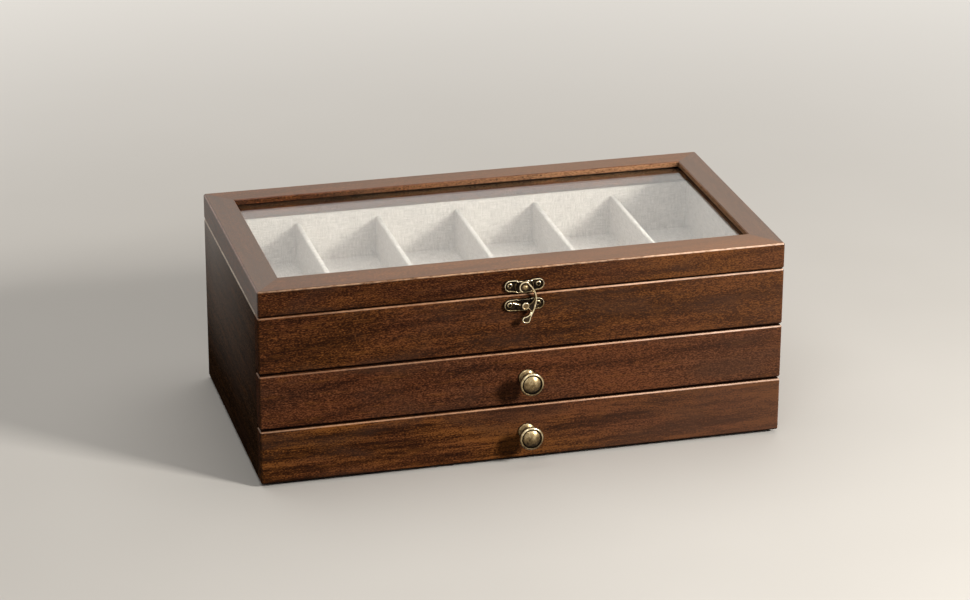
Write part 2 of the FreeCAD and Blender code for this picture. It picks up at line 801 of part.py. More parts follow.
# The hook: a ring on the rivet, a crescent arm, a notch for the post and a flared tail.
def hook_outline():
    ring_radius = s.hook_ring_radius
    notch = s.post_radius + s.post_play
    lower_lip = notch / 4
    upper_lip = notch / 2
    tip_top = s.hook_tip_height - s.hook_tail_drop
    inner_tail = s.hook_tip_right - s.hook_tail_width / 2
    mouth_x = s.hook_mouth_start_x
    return [
        (ring_radius * 0.6, ring_radius * 0.8, -s.hook_arm_radius),
        (s.hook_arm_end_x, -s.hook_arm_end_drop),
        (inner_tail + s.hook_tail_width, tip_top),
        (s.hook_tip_right, s.hook_tip_height * 0.4 - s.hook_tail_drop),
        (s.hook_tip_right - s.hook_tail_width / 2, -s.hook_tail_drop),
        (s.hook_tail_width / 2 - s.hook_tip_left, -s.hook_tail_drop),
        (-s.hook_tip_left, s.hook_tip_height * 0.55 - s.hook_tail_drop),
        (s.hook_tail_width - s.hook_tip_left, tip_top),
        (inner_tail, tip_top + s.hook_tail_width / 2),
        (s.hook_lip_x, -s.hook_reach - notch * 2.4),
        (lower_lip, -s.hook_reach - root(notch * notch - lower_lip * lower_lip), notch),
        (upper_lip, root(notch * notch - upper_lip * upper_lip) - s.hook_reach),
        (s.hook_lip_x, s.hook_lip_rise - s.hook_reach, s.hook_mouth_radius),
        (mouth_x, -root(ring_radius * ring_radius - mouth_x * mouth_x), -ring_radius),
        (-ring_radius, 0, -ring_radius),
    ]


hook = add_body("latch_hook", (latch_x, front, pivot_level), FORWARD)
add_pad(hook, "blank", s.hook_thick, [hook_outline()], level=hook_low)
add_pocket(hook, "bore", s.hook_thick, hook_top,
           circles=[((0, 0), s.rivet_radius + s.rivet_play)])
keep(hook, "latch_hook")


# Drawers: each is a box of boards behind a full front, with a lining, a knob and its screw.
front_face_thick = s.front_thick - s.seat_gap
drawer_front = front + front_face_thick
drawer_back = inside_back - s.drawer_back_gap
drawer_left = inside_left + s.drawer_play
drawer_right = inside_right - s.drawer_play
well_left = drawer_left + s.drawer_wall
well_right = drawer_right - s.drawer_wall
well_back = drawer_back - s.drawer_wall


def knob_outline():
    """Half the knob's section: bore, flange, neck, flared head, rim, groove and dome."""
    bore = s.knob_screw_radius + s.bore_play
    flange = s.knob_flange_radius
    neck = s.knob_neck_radius
    head = s.knob_head_radius
    rim_low = s.knob_rim_level - s.knob_groove_drop * 1.5
    groove_level = s.knob_rim_level - s.knob_groove_drop
    groove = s.knob_groove_radius
    dome = s.knob_dome_radius
    rise = s.knob_length - groove_level
    dome_round = (dome * dome + rise * rise) / (2 * rise)
    return [
        (bore, 0), (flange, 0), (flange, s.knob_flange_thick / 2),
        (flange - s.knob_flange_thick / 2, s.knob_flange_thick),
        (neck, s.knob_flange_thick * 2), (neck, s.knob_rim_level / 3, -head * 1.6),
        (head - (head - groove) / 3, rim_low - s.knob_groove_drop),
        (head, rim_low), (head, groove_level), (head - (head - groove) / 3, s.knob_rim_level),
        (groove + (head - groove) / 6, s.knob_rim_level), (groove, groove_level),
        (dome, groove_level, dome_round), (0, s.knob_length), (0, s.knob_bore_depth),
        (bore, s.knob_bore_depth),
    ]


def add_drawer(name, front_low, front_top, box_low, box_top):
    knob_level = (front_low + front_top) / 2
    floor_top = box_low + s.drawer_bottom_thick
    screw_hole = s.knob_screw_radius + s.bore_play

    facing = add_facing(f"{name}_front", front_low, front_top, front_face_thick)
    add_pocket(facing, "screw_hole", front_face_thick, front_face_thick,
               circles=[((knob_x - left, knob_level - front_low), screw_hole)])
    keep(facing, f"{name}_front")

    side_lengths = (s.drawer_wall, drawer_back - drawer_front, box_top - box_low)
    for side, x in (("left", drawer_left), ("right", well_right)):
        keep(add_box(f"{name}_side_{side}", (x, drawer_front, box_low), side_lengths),
             f"{name}_side_{side}")
    keep(add_box(f"{name}_back", (well_left, well_back, box_low),
                 (well_right - well_left, s.drawer_wall, box_top - box_low)), f"{name}_back")
    keep(add_box(f"{name}_bottom", (well_left, drawer_front, box_low),
                 (well_right - well_left, well_back - drawer_front, s.drawer_bottom_thick)),
         f"{name}_bottom")

    thick = s.drawer_lining_thick
    lining_height = box_top - s.drawer_lining_drop - floor_top
    lining = add_body(f"{name}_lining", (well_left, drawer_front, floor_top))
    width = well_right - well_left
    depth = well_back - drawer_front
    add_pad(lining, "blank", lining_height, [rectangle(0, 0, width, depth)])
    add_pocket(lining, "well", lining_height - thick, lining_height,
               [rectangle(thick, thick, width - thick, depth - thick)])
    head_hole = add_cylinder(f"{name}_lining_hole", s.knob_screw_head_radius + s.seat_gap, thick,
                             (knob_x, drawer_front + thick, knob_level), FORWARD)
    keep(add_cut(f"{name}_lining_cut", lining, [head_hole]), f"{name}_lining")

    knob = add_body(f"{name}_knob", (knob_x, front, knob_level), FORWARD)
    add_turning(knob, "turning", knob_outline())
    keep(knob, f"{name}_knob")

    screw = add_body(f"{name}_knob_screw", (knob_x, drawer_front, knob_level), FORWARD)
    length = front_face_thick + s.knob_bore_depth - s.seat_gap
    head_radius = s.knob_screw_head_radius
    head = s.knob_screw_head_thick
    add_turning(screw, "turning", [
        (0, -head), (head_radius * 0.8, -head), (head_radius, -head * 0.6), (head_radius, 0),
        (s.knob_screw_radius, 0), (s.knob_screw_radius, length), (0, length)])
    keep(screw, f"{name}_knob_screw")


add_drawer("lower_drawer", lower_front_low, lower_front_top,
           body_low + s.board_thick + s.drawer_lift, shelf_low - s.drawer_headroom)
add_drawer("upper_drawer", upper_front_low, upper_front_top,
           shelf_low + s.board_thick + s.drawer_lift, tray_low - s.drawer_headroom)

doc.recompute()
failed = [item.Name for item in doc.Objects if {"Invalid", "Error"} & set(item.State)]
if failed:
    raise RuntimeError(f"these objects failed: {failed}")

os.makedirs("parts", exist_ok=True)
for name, node in nodes.items():
    shape = node.Shape
    if shape.isNull() or not shape.isValid() or not shape.Solids:
        raise RuntimeError(f"{name} has no valid solid")
    shape.exportStep(f"parts/{name}.step")
print(len(nodes), "sub-parts written")
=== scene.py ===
import math

import bmesh
import bpy
from mathutils import Euler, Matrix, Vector
from mathutils.geometry import delaunay_2d_cdt, intersect_point_line, interpolate_bezier
from mathutils.kdtree import KDTree


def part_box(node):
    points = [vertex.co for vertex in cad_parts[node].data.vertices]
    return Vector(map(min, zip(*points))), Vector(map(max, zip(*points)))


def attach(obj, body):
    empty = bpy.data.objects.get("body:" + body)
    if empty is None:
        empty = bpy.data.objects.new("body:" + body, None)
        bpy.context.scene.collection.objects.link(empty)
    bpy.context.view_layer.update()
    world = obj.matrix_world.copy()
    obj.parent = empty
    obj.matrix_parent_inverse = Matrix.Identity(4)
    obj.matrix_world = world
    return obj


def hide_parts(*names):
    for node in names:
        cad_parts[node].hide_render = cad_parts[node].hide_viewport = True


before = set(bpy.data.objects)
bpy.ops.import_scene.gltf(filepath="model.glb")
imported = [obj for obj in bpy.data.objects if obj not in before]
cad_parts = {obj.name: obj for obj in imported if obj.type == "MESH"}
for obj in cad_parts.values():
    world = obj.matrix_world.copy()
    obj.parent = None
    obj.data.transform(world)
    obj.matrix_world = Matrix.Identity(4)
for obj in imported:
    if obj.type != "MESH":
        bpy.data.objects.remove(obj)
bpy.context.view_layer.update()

# Case boards: the fixed front, the sides and the back, stained hardwood with a satin finish,
# glued edge to face. The grain is one solid figure that each board turns along its own length
# and shifts to a place of its own, so that faces, ends and edges match as in real timber.
MM = 0.001


def put(tree, kind, inputs=(), **settings):
    """Adds a shader node; an input is given a value or another node's socket."""
    made = tree.nodes.new(kind)
    for name, value in settings.items():
        setattr(made, name, value)
    for key, value in dict(inputs).items():
        if isinstance(value, bpy.types.NodeSocket):
            tree.links.new(value, made.inputs[key])
        else:
            made.inputs[key].default_value = value
    return made


def calc(tree, operation, *values, clamp=False):
    return put(tree, "ShaderNodeMath", dict(enumerate(values)), operation=operation,
               use_clamp=clamp).outputs[0]


def plus(tree, first, second, clamp=False):
    return calc(tree, "ADD", first, second, clamp=clamp)


def times(tree, first, second):
    return calc(tree, "MULTIPLY", first, second)


def remap(tree, value, low, high, new_low=0.0, new_high=1.0):
    inputs = {"Value": value, "From Min": low, "From Max": high,
              "To Min": new_low, "To Max": new_high}
    return put(tree, "ShaderNodeMapRange", inputs).outputs[0]


def stretched_noise(tree, vector, scale, detail=2.0, roughness=0.5):
    """Noise with its own scale along each axis, in waves per metre."""
    scaled = put(tree, "ShaderNodeVectorMath", {0: vector, 1: scale}, operation="MULTIPLY")
    inputs = {"Vector": scaled.outputs[0], "Scale": 1.0, "Detail": detail,
              "Roughness": roughness}
    return put(tree, "ShaderNodeTexNoise", inputs).outputs[0]


def axes_of(tree, vector):
    return put(tree, "ShaderNodeSeparateXYZ", {0: vector}).outputs


def facing_shares(tree, normal):
    """How far a surface faces along each axis, whichever way."""
    either_way = put(tree, "ShaderNodeVectorMath", {0: normal}, operation="ABSOLUTE")
    return axes_of(tree, either_way.outputs[0])


def blend(tree, share, first, second):
    """The first colour with a share of the second over it."""
    inputs = {0: share, 6: first, 7: second}
    return put(tree, "ShaderNodeMix", inputs, data_type="RGBA").outputs[2]


def emboss(tree, shader, height, strength, depth):
    inputs = {"Height": height, "Strength": strength, "Distance": depth}
    bump = put(tree, "ShaderNodeBump", inputs)
    tree.links.new(bump.outputs[0], shader.inputs["Normal"])


def new_group(name, inputs, outputs):
    """A shader node group whose inputs and outputs are (name, kind, value) and (name, kind)."""
    group = bpy.data.node_groups.new(name, "ShaderNodeTree")
    for socket_name, kind, value in inputs:
        socket = group.interface.new_socket(socket_name, in_out="INPUT", socket_type=kind)
        if value is not None:
            socket.default_value = value
    for socket_name, kind in outputs:
        group.interface.new_socket(socket_name, in_out="OUTPUT", socket_type=kind)
    entry = group.nodes.new("NodeGroupInput")
    return group, entry.outputs, group.nodes.new("NodeGroupOutput")


def close_group(group, leave, results):
    for name, socket in results.items():
        group.links.new(socket, leave.inputs[name])
    return group


FIGURE_PITCH = 21 * MM
LEAN = -0.1
SWAY = 0.05
SHIFT_PER_SEED = (0.37, 0.213, 0.531)


def grain_group():
    """Timber cut along X: broad figure, soft streaks, fibres, flames, dull patches and pores."""
    group, entry, leave = new_group(
        "board_grain",
        [("Vector", "NodeSocketVector", None), ("Seed", "NodeSocketFloat", 0.0),
         ("Figure", "NodeSocketFloat", 0.5), ("Streaks", "NodeSocketFloat", 0.5)],
        [("Tone", "NodeSocketFloat"), ("Blotch", "NodeSocketFloat"),
         ("Flames", "NodeSocketFloat"), ("Dulled", "NodeSocketFloat"),
         ("Pores", "NodeSocketFloat"), ("Height", "NodeSocketFloat")])
    shift = put(group, "ShaderNodeVectorMath", {0: SHIFT_PER_SEED, "Scale": entry["Seed"]},
                operation="SCALE").outputs[0]
    place = put(group, "ShaderNodeVectorMath", {0: entry["Vector"], 1: shift},
                operation="ADD").outputs[0]
    axes = axes_of(group, place)
    across = plus(group, plus(group, axes["Z"], axes["Y"]), times(group, axes["X"], LEAN))
    sway = calc(group, "SUBTRACT", stretched_noise(group, place, (5, 14, 14)), 0.5)
    reach = plus(group, across, times(group, sway, SWAY))
    waves = calc(group, "SINE", times(group, reach, 2 * math.pi / FIGURE_PITCH))
    figure = calc(group, "POWER", remap(group, waves, -1.0, 1.0), 7.0)
    streaks = stretched_noise(group, place, (13, 210, 210), 3.0, 0.6)
    fibres = stretched_noise(group, place, (210, 1250, 1250), 3.0, 0.75)
    flecks = stretched_noise(group, place, (700, 1900, 1900), 1.0)
    flames = remap(group, stretched_noise(group, place, (55, 330, 330), 3.0, 0.6), 0.54, 0.72)
    dulled = remap(group, stretched_noise(group, place, (16, 48, 48), 3.0, 0.6), 0.5, 0.66)
    blotch = stretched_noise(group, place, (9, 26, 26), 3.0, 0.55)
    pores = remap(group, stretched_noise(group, place, (260, 2600, 2600), 1.0), 0.6, 0.74)
    tone = calc(group, "SUBTRACT", 0.5, times(group, figure, entry["Figure"]))
    for noise, amount in ((streaks, entry["Streaks"]), (fibres, 1.2), (flecks, 1.4),
                          (blotch, 0.5)):
        tone = plus(group, tone, times(group, calc(group, "SUBTRACT", noise, 0.5), amount))
    height = calc(group, "SUBTRACT", plus(group, fibres, flecks), pores)
    return close_group(group, leave, {"Tone": tone, "Blotch": blotch, "Flames": flames,
                                      "Dulled": dulled, "Pores": pores, "Height": height})


def edge_group():
    """Where a board's rounded edges are, told from the way the surface faces."""
    group, entry, leave = new_group(
        "board_edges",
        [("Vector", "NodeSocketVector", None), ("Normal", "NodeSocketVector", None),
         ("Spared", "NodeSocketFloat", 0.35)],
        [("Top", "NodeSocketFloat"), ("Crown", "NodeSocketFloat"),
         ("Under", "NodeSocketFloat"), ("Corner", "NodeSocketFloat")])
    up = axes_of(group, entry["Normal"])["Z"]
    top = remap(group, up, 0.86, 0.99)
    # Upper rounded edges: the mask for their wear and for a painted highlight.
    rounded = times(group, remap(group, up, 0.26, 0.52), remap(group, up, 0.94, 0.82))
    rubs = plus(group, stretched_noise(group, entry["Vector"], (260, 260, 900), 3.0, 0.7),
                stretched_noise(group, entry["Vector"], (14, 14, 60)))
    wear = remap(group, rubs, 0.75, 1.25, entry["Spared"], 1.0)
    crown = times(group, rounded, wear)
    # Downward rounded edges: the mask for a painted shade.
    under = remap(group, up, -0.15, -0.5)
    sides = facing_shares(group, entry["Normal"])
    corner = times(group, remap(group, sides["X"], 0.2, 0.5), remap(group, sides["Y"], 0.2, 0.5))
    corner = times(group, corner, wear)
    return close_group(group, leave, {"Top": top, "Crown": crown, "Under": under,
                                      "Corner": corner})


def stain(red, green, blue):
    """A colour as the eye reads it, from 0 to 255, turned into light."""
    def light(level):
        share = level / 255
        return share / 12.92 if share <= 0.04045 else ((share + 0.055) / 1.055) ** 2.4
    return (light(red), light(green), light(blue), 1.0)


def new_material(name):
    material = bpy.data.materials.new(name)
    material.use_nodes = True
    tree = material.node_tree
    return material, tree, tree.nodes["Principled BSDF"]


def colour_ramp(tree, value, stops):
    ramp = put(tree, "ShaderNodeValToRGB", {0: value})
    marks = ramp.color_ramp.elements
    for place, colour in stops[1:-1]:
        marks.new(place).color = colour
    marks[0].position, marks[0].color = stops[0]
    marks[-1].position, marks[-1].color = stops[-1]
    return ramp.outputs[0]


YELLOWED = (stain(40, 22, 10), stain(73, 41, 19), stain(130, 80, 38))
REDDENED = (stain(40, 21, 13), stain(74, 41, 24), stain(119, 70, 43))
PLUMMY = (stain(46, 27, 19), stain(82, 49, 32), stain(124, 79, 54))
DARKENED = (stain(36, 24, 15), stain(62, 43, 30), stain(96, 68, 47))
DULLED = stain(70, 49, 38)
# A pale grey laid over the right-hand ends of some boards: painted glare.
GLARE_GREY = stain(100, 72, 58)
# The next three are edge colours, partly wear and partly a painted highlight; the palest is laid
# at the right-hand ends.
PEACH = stain(228, 172, 130)
PALEST_HIGHLIGHT = stain(242, 210, 190)
SANDY = stain(170, 136, 106)
GRAIN = grain_group()
EDGES = edge_group()
ALONG = {"X": (0.0, 0.0, 0.0), "Y": (0.0, 0.0, math.radians(-90))}
CASE_END = 175 * MM
GLARE_FROM = -20 * MM
PALE_EDGE_TO = 140 * MM
LEFT_FADE_SPAN = (-170 * MM, 60 * MM)
VARNISH_HEIGHTS = (20 * MM, 118 * MM)
VARNISH_DEPTHS = (-115 * MM, 60 * MM)
RAMP_PLACES = (0.2, 0.5, 0.8)
# Near black for painted shade: on covered tops in the gaps between boards, and above the pane.
PAINTED_SHADE = stain(20, 12, 8)


def board_wood(name, along, seed, tones, second_tones, worn_and_lit_edge, figure=0.14, streaks=0.6,
               roughness=0.42, gloss=0.0, satin=0.06, top_varnish=0.8, high_varnish=0.0,
               spared=0.35, paler_right=0.0, wax_and_sheen=stain(140, 96, 58), covered=False,
               window=None):
    """Stained timber: tones and second_tones are dark, middle and light; the next colour is the
    rounded edges', partly wear and partly a painted highlight on the upper edges.

    gloss is the bare timber's own shine and satin the varnish all over. The varnish is thicker
    on top, whose colour is partly wax and partly a painted sheen, and by high_varnish towards
    a side board's upper rear. A covered top, in the gap below another board, has no varnish
    and is painted dark: painted shade in the gap. By paler_right the tone grows paler towards
    the right-hand end and takes a grey there, a painted glare, with a paler painted highlight
    on its upper edges. On boards that run across, the edges' painted highlight and the top
    colour fade to the left. Faces within a window have paler flecks that grow lighter towards
    the right, a painted light, and a painted shade line above the pane. Downward edges get
    painted shade.
    """
    material, tree, shader = new_material(name)
    coordinates = put(tree, "ShaderNodeTexCoord").outputs
    where = coordinates["Object"]
    turned = put(tree, "ShaderNodeMapping", {"Vector": where, "Rotation": ALONG[along]})
    grain_inputs = {"Vector": turned.outputs[0], "Seed": seed, "Figure": figure,
                    "Streaks": streaks}
    grain = put(tree, "ShaderNodeGroup", grain_inputs, node_tree=GRAIN).outputs
    edge_inputs = {"Vector": where, "Normal": coordinates["Normal"], "Spared": spared}
    edges = put(tree, "ShaderNodeGroup", edge_inputs, node_tree=EDGES).outputs
    axes = axes_of(tree, where)
    # Painted glare: by paler_right the tone grows paler towards the right-hand end and takes a
    # grey there.
    paler_tone = remap(tree, axes["X"], -CASE_END, CASE_END, -0.5 * paler_right, paler_right)
    glare = remap(tree, axes["X"], GLARE_FROM, CASE_END, 0.0, 3.0 * paler_right)
    # Painted light: on boards that run across, the edges' painted highlight and the top colour
    # fade towards the left-hand end, away from the lamp.
    left_fade = remap(tree, axes["X"], *LEFT_FADE_SPAN, 0.5 if along == "X" else 1.0, 1.0)
    top_share = times(tree, left_fade, 0.9 if covered else 0.5)
    crown = times(tree, edges["Crown"], left_fade)
    crown_right = times(tree, crown, remap(tree, axes["X"], 0.0, PALE_EDGE_TO, 0.0, 0.8))
    tone = plus(tree, grain["Tone"], paler_tone)
    first = colour_ramp(tree, tone, list(zip(RAMP_PLACES, tones)))
    second = colour_ramp(tree, tone, list(zip(RAMP_PLACES, second_tones)))
    colour = blend(tree, remap(tree, grain["Blotch"], 0.36, 0.64), first, second)
    layers = ((times(tree, grain["Flames"], 0.3), YELLOWED[2]),
              (times(tree, grain["Dulled"], 0.45), DULLED),
              (glare, GLARE_GREY),
              (times(tree, grain["Pores"], 0.25), tones[0]),
              # Top faces: partly a wax colour and partly a painted sheen; a covered top takes
              # painted shade instead.
              (times(tree, edges["Top"], top_share), PAINTED_SHADE if covered else wax_and_sheen),
              # Rounded edges: partly wear, and on the upper edges a painted highlight.
              (times(tree, edges["Corner"], 0.04), worn_and_lit_edge),
              (crown, worn_and_lit_edge),
              # Painted highlight: the upper edges grow paler still towards the right-hand end.
              *(((crown_right, PALEST_HIGHLIGHT),) if paler_right else ()),
              *(window_layers(tree, axes, grain["Height"], window) if window else ()),
              # Painted shade: the downward rounded edges are darkened almost to black.
              (times(tree, edges["Under"], 0.85), stain(14, 9, 7)))
    for share, layer in layers:
        colour = blend(tree, share, colour, layer)
    tree.links.new(colour, shader.inputs["Base Color"])
    on_top = times(tree, edges["Top"], 0.0 if covered else top_varnish)
    varnish = plus(tree, plus(tree, on_top, satin), edges["Crown"])
    upper_rear = times(tree, remap(tree, axes["Z"], *VARNISH_HEIGHTS),
                       remap(tree, axes["Y"], *VARNISH_DEPTHS))
    rear_varnish = times(tree, calc(tree, "POWER", upper_rear, 1.35), high_varnish)
    tree.links.new(plus(tree, varnish, rear_varnish, clamp=True), shader.inputs["Coat Weight"])
    shader.inputs["Coat Roughness"].default_value = roughness - 0.03
    shader.inputs["Specular IOR Level"].default_value = gloss
    rough = plus(tree, roughness - 0.06, times(tree, grain["Height"], 0.06), clamp=True)
    tree.links.new(rough, shader.inputs["Roughness"])
    emboss(tree, shader, grain["Height"], 0.3, 0.08 * MM)
    return material


RIGHTWARD_LIGHT_SPAN = (-110 * MM, 110 * MM)
REBATE_MARGIN = 0.3 * MM
SHADE_LINE_RISE = (0.9 * MM, 0.5 * MM)


def window_layers(tree, axes, height, window):
    """Paler flecks on the faces round a window, lighter towards the right: painted light.
    Above its pane, a dark line of painted shade.

    The window is (half width, front, back, top of the pane) in metres.
    """
    half_width, front, back, pane_top = window
    within = calc(tree, "LESS_THAN", calc(tree, "ABSOLUTE", axes["X"]), half_width + REBATE_MARGIN)
    for limit, operation in ((front - REBATE_MARGIN, "GREATER_THAN"),
                             (back + REBATE_MARGIN, "LESS_THAN")):
        within = times(tree, within, calc(tree, operation, axes["Y"], limit))
    # Painted light: paler flecks on the faces round the window, growing lighter towards the right.
    flecks = times(tree, remap(tree, height, 0.6, 1.05), remap(tree, axes["X"], *RIGHTWARD_LIGHT_SPAN))
    # Painted shade: a dark line on those faces just above the pane.
    shade_from, shade_full = (pane_top + rise for rise in SHADE_LINE_RISE)
    shade_line = times(tree, within, remap(tree, axes["Z"], shade_from, shade_full))
    return ((times(tree, within, flecks), stain(158, 116, 84)), (shade_line, PAINTED_SHADE))


def dress(names, material):
    """Gives CAD pieces that keep their own shape a finish."""
    for name in names:
        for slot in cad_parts[name].material_slots:
            slot.material = material


dress(["front_panel"], board_wood("wood_top_front", "X", 1.0, YELLOWED, REDDENED, PEACH,
                                  paler_right=0.1, covered=True))
dress(["side_panel_left"],
      board_wood("wood_side_left", "Y", 2.3, DARKENED, DARKENED, stain(236, 214, 190),
                 streaks=0.4, satin=0.0, high_varnish=1.0))
dress(["side_panel_right"], board_wood("wood_side_right", "Y", 3.1, REDDENED, PLUMMY, SANDY))
dress(["back_panel"], board_wood("wood_back", "X", 4.6, REDDENED, DARKENED, SANDY))


# Inner boards: the floors of the drawers' wells and of the tray are plain thin boards with
# hardly any stain, seen only when a drawer is out. They lie between the side panels.
BARE = (stain(96, 66, 42), stain(142, 104, 70), stain(172, 134, 96))
dress(["base_board", "drawer_shelf", "tray_floor"],
      board_wood("wood_inner", "X", 5.2, BARE, BARE, BARE[2], roughness=0.6))


# Underside: a thin sheet of black felt, glued under the base board a little way in from the
# case's edges, so that the case doesn't mark a table.
def felt():
    material, tree, shader = new_material("felt_black")
    where = put(tree, "ShaderNodeTexCoord").outputs["Object"]
    nap = stretched_noise(tree, where, (1700, 1700, 1700), 3.0, 0.7)
    matted = stretched_noise(tree, where, (60, 60, 60))
    tone = plus(tree, times(tree, nap, 0.6), times(tree, matted, 0.4))
    colour = colour_ramp(tree, tone, [(0.3, stain(10, 9, 9)), (0.5, stain(22, 20, 19)),
                                      (0.75, stain(44, 41, 38))])
    tree.links.new(colour, shader.inputs["Base Color"])
    emboss(tree, shader, nap, 0.8, 0.3 * MM)
    shader.inputs["Roughness"].default_value = 0.95
    shader.inputs["Sheen Weight"].default_value = 0.3
    return material


dress(["base_felt"], felt())


# Tray lining: thin boards wrapped in unbleached linen, set in around the tray, and five
# dividers wrapped in the same cloth. The threads are uneven, with slubs that run both ways.
THREAD_PITCH = 0.75 * MM


def weave_group():
    """Plain weave on flat faces: threads follow the two axes that the face lies along."""
    group, entry, leave = new_group(
        "linen_weave",
        [("Vector", "NodeSocketVector", None), ("Normal", "NodeSocketVector", None),
         ("Pitch", "NodeSocketFloat", THREAD_PITCH)],
        [("Tone", "NodeSocketFloat"), ("Height", "NodeSocketFloat")])
    axes = axes_of(group, entry["Vector"])
    facing = facing_shares(group, entry["Normal"])
    faces_side = calc(group, "GREATER_THAN", facing["X"], 0.7)
    faces_up = calc(group, "GREATER_THAN", facing["Z"], 0.7)
    along = put(group, "ShaderNodeMix", {0: faces_side, 2: axes["X"], 3: axes["Y"]}).outputs[0]
    up = put(group, "ShaderNodeMix", {0: faces_up, 2: axes["Z"], 3: axes["Y"]}).outputs[0]
    cloth = put(group, "ShaderNodeCombineXYZ", {0: along, 1: up, 2: faces_side}).outputs[0]
    drift = calc(group, "SUBTRACT", stretched_noise(group, cloth, (60, 60, 9)), 0.5)
    waves = []
    for line, wander in ((along, 0.6 * MM), (up, 0.9 * MM)):
        turns = calc(group, "DIVIDE", plus(group, line, times(group, drift, wander)),
                     entry["Pitch"])
        waves.append(calc(group, "SINE", times(group, turns, 2 * math.pi)))
    over = times(group, *waves)
    slubs = plus(group, stretched_noise(group, cloth, (1500, 150, 9), 2.0, 0.6),
                 stretched_noise(group, cloth, (130, 1500, 9), 2.0, 0.6))
    fuzz = stretched_noise(group, cloth, (2600, 2600, 9), 2.0, 0.6)
    tone = plus(group, times(group, calc(group, "SUBTRACT", slubs, 0.33), 0.6),
                times(group, over, 0.07))
    tone = plus(group, tone, times(group, fuzz, 0.2), clamp=True)
    height = plus(group, times(group, over, 0.4), times(group, slubs, 0.9))
    return close_group(group, leave, {"Tone": tone, "Height": height})


WEAVE = weave_group()


def linen(name, dark, middle, light):
    material, tree, shader = new_material(name)
    coordinates = put(tree, "ShaderNodeTexCoord").outputs
    inputs = {"Vector": coordinates["Object"], "Normal": coordinates["Normal"]}
    weave = put(tree, "ShaderNodeGroup", inputs, node_tree=WEAVE).outputs
    colour = colour_ramp(tree, weave["Tone"], [(0.34, dark), (0.5, middle), (0.66, light)])
    tree.links.new(colour, shader.inputs["Base Color"])
    emboss(tree, shader, weave["Height"], 0.55, 0.22 * MM)
    shader.inputs["Roughness"].default_value = 0.9
    shader.inputs["Sheen Weight"].default_value = 0.15
    shader.inputs["Specular IOR Level"].default_value = 0.25
    return material


tray_linen = linen("linen_tray", stain(164, 156, 150), stain(189, 181, 174), stain(212, 204, 198))
dress([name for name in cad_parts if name.startswith(("lining_", "divider_"))], tray_linen)


# Lid frame: four mitred rails of the same timber, glued at the corners, with a rebate inside
# that holds the pane. The stain took differently on the side rails.
RAIL = 18.0 * MM
FRONT_RAIL = 22.4 * MM
WINDOW = (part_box("lid_rail_right")[1].x - RAIL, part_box("lid_rail_front")[0].y + FRONT_RAIL,
          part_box("lid_rail_back")[1].y - RAIL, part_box("lid_glass")[1].z)
dress(["lid_rail_front"],
      board_wood("wood_lid_front", "X", 6.4, REDDENED, YELLOWED, stain(232, 184, 142),
                 spared=0.0, paler_right=0.1, window=WINDOW))
dress(["lid_rail_back"],
      board_wood("wood_lid_back", "X", 7.7, REDDENED, YELLOWED, REDDENED[2], spared=0.1,
                 window=WINDOW))
# The side rails' top colours below are partly wax and partly a painted sheen.
dress(["lid_rail_left"],
      board_wood("wood_lid_left", "Y", 8.5, REDDENED, DARKENED, REDDENED[2], gloss=0.5,
                 satin=0.0, top_varnish=0.0, spared=0.1, wax_and_sheen=stain(98, 76, 58),
                 window=WINDOW))
dress(["lid_rail_right"],
      board_wood("wood_lid_right", "Y", 9.2, REDDENED, DARKENED, REDDENED[2], spared=0.1,
                 wax_and_sheen=stain(124, 97, 78), window=WINDOW))
SMOKED = (stain(26, 20, 14), stain(42, 33, 24), stain(62, 48, 35))
dress(["glass_bead_front", "glass_bead_back"],
      board_wood("wood_bead_long", "X", 10.1, SMOKED, SMOKED, DARKENED[1]))
dress(["glass_bead_left", "glass_bead_right"],
      board_wood("wood_bead_short", "Y", 11.6, SMOKED, SMOKED, DARKENED[1]))


# Pane: clear float glass, laid in the lid's rebate from below and held there by the beads.
# Faint smears make its gloss uneven, and the light goes through it to the lining.
def pane():
    material, tree, shader = new_material("glass_clear")
    shader.inputs["Base Color"].default_value = (0.95, 0.96, 0.96, 1.0)
    shader.inputs["Transmission Weight"].default_value = 1.0
    shader.inputs["IOR"].default_value = 1.5
    where = put(tree, "ShaderNodeTexCoord").outputs["Object"]
    smears = stretched_noise(tree, where, (26, 9, 9), 4.0, 0.65)
    tree.links.new(remap(tree, smears, 0.35, 0.8, 0.0, 0.03), shader.inputs["Roughness"])
    clear = put(tree, "ShaderNodeBsdfTransparent", {"Color": (0.9, 0.93, 0.92, 1.0)})
    path = put(tree, "ShaderNodeLightPath")
    mix = put(tree, "ShaderNodeMixShader", {0: path.outputs["Is Shadow Ray"],
                                            1: shader.outputs[0], 2: clear.outputs[0]})
    tree.links.new(mix.outputs[0], tree.nodes["Material Output"].inputs["Surface"])
    return material


dress(["lid_glass"], pane())


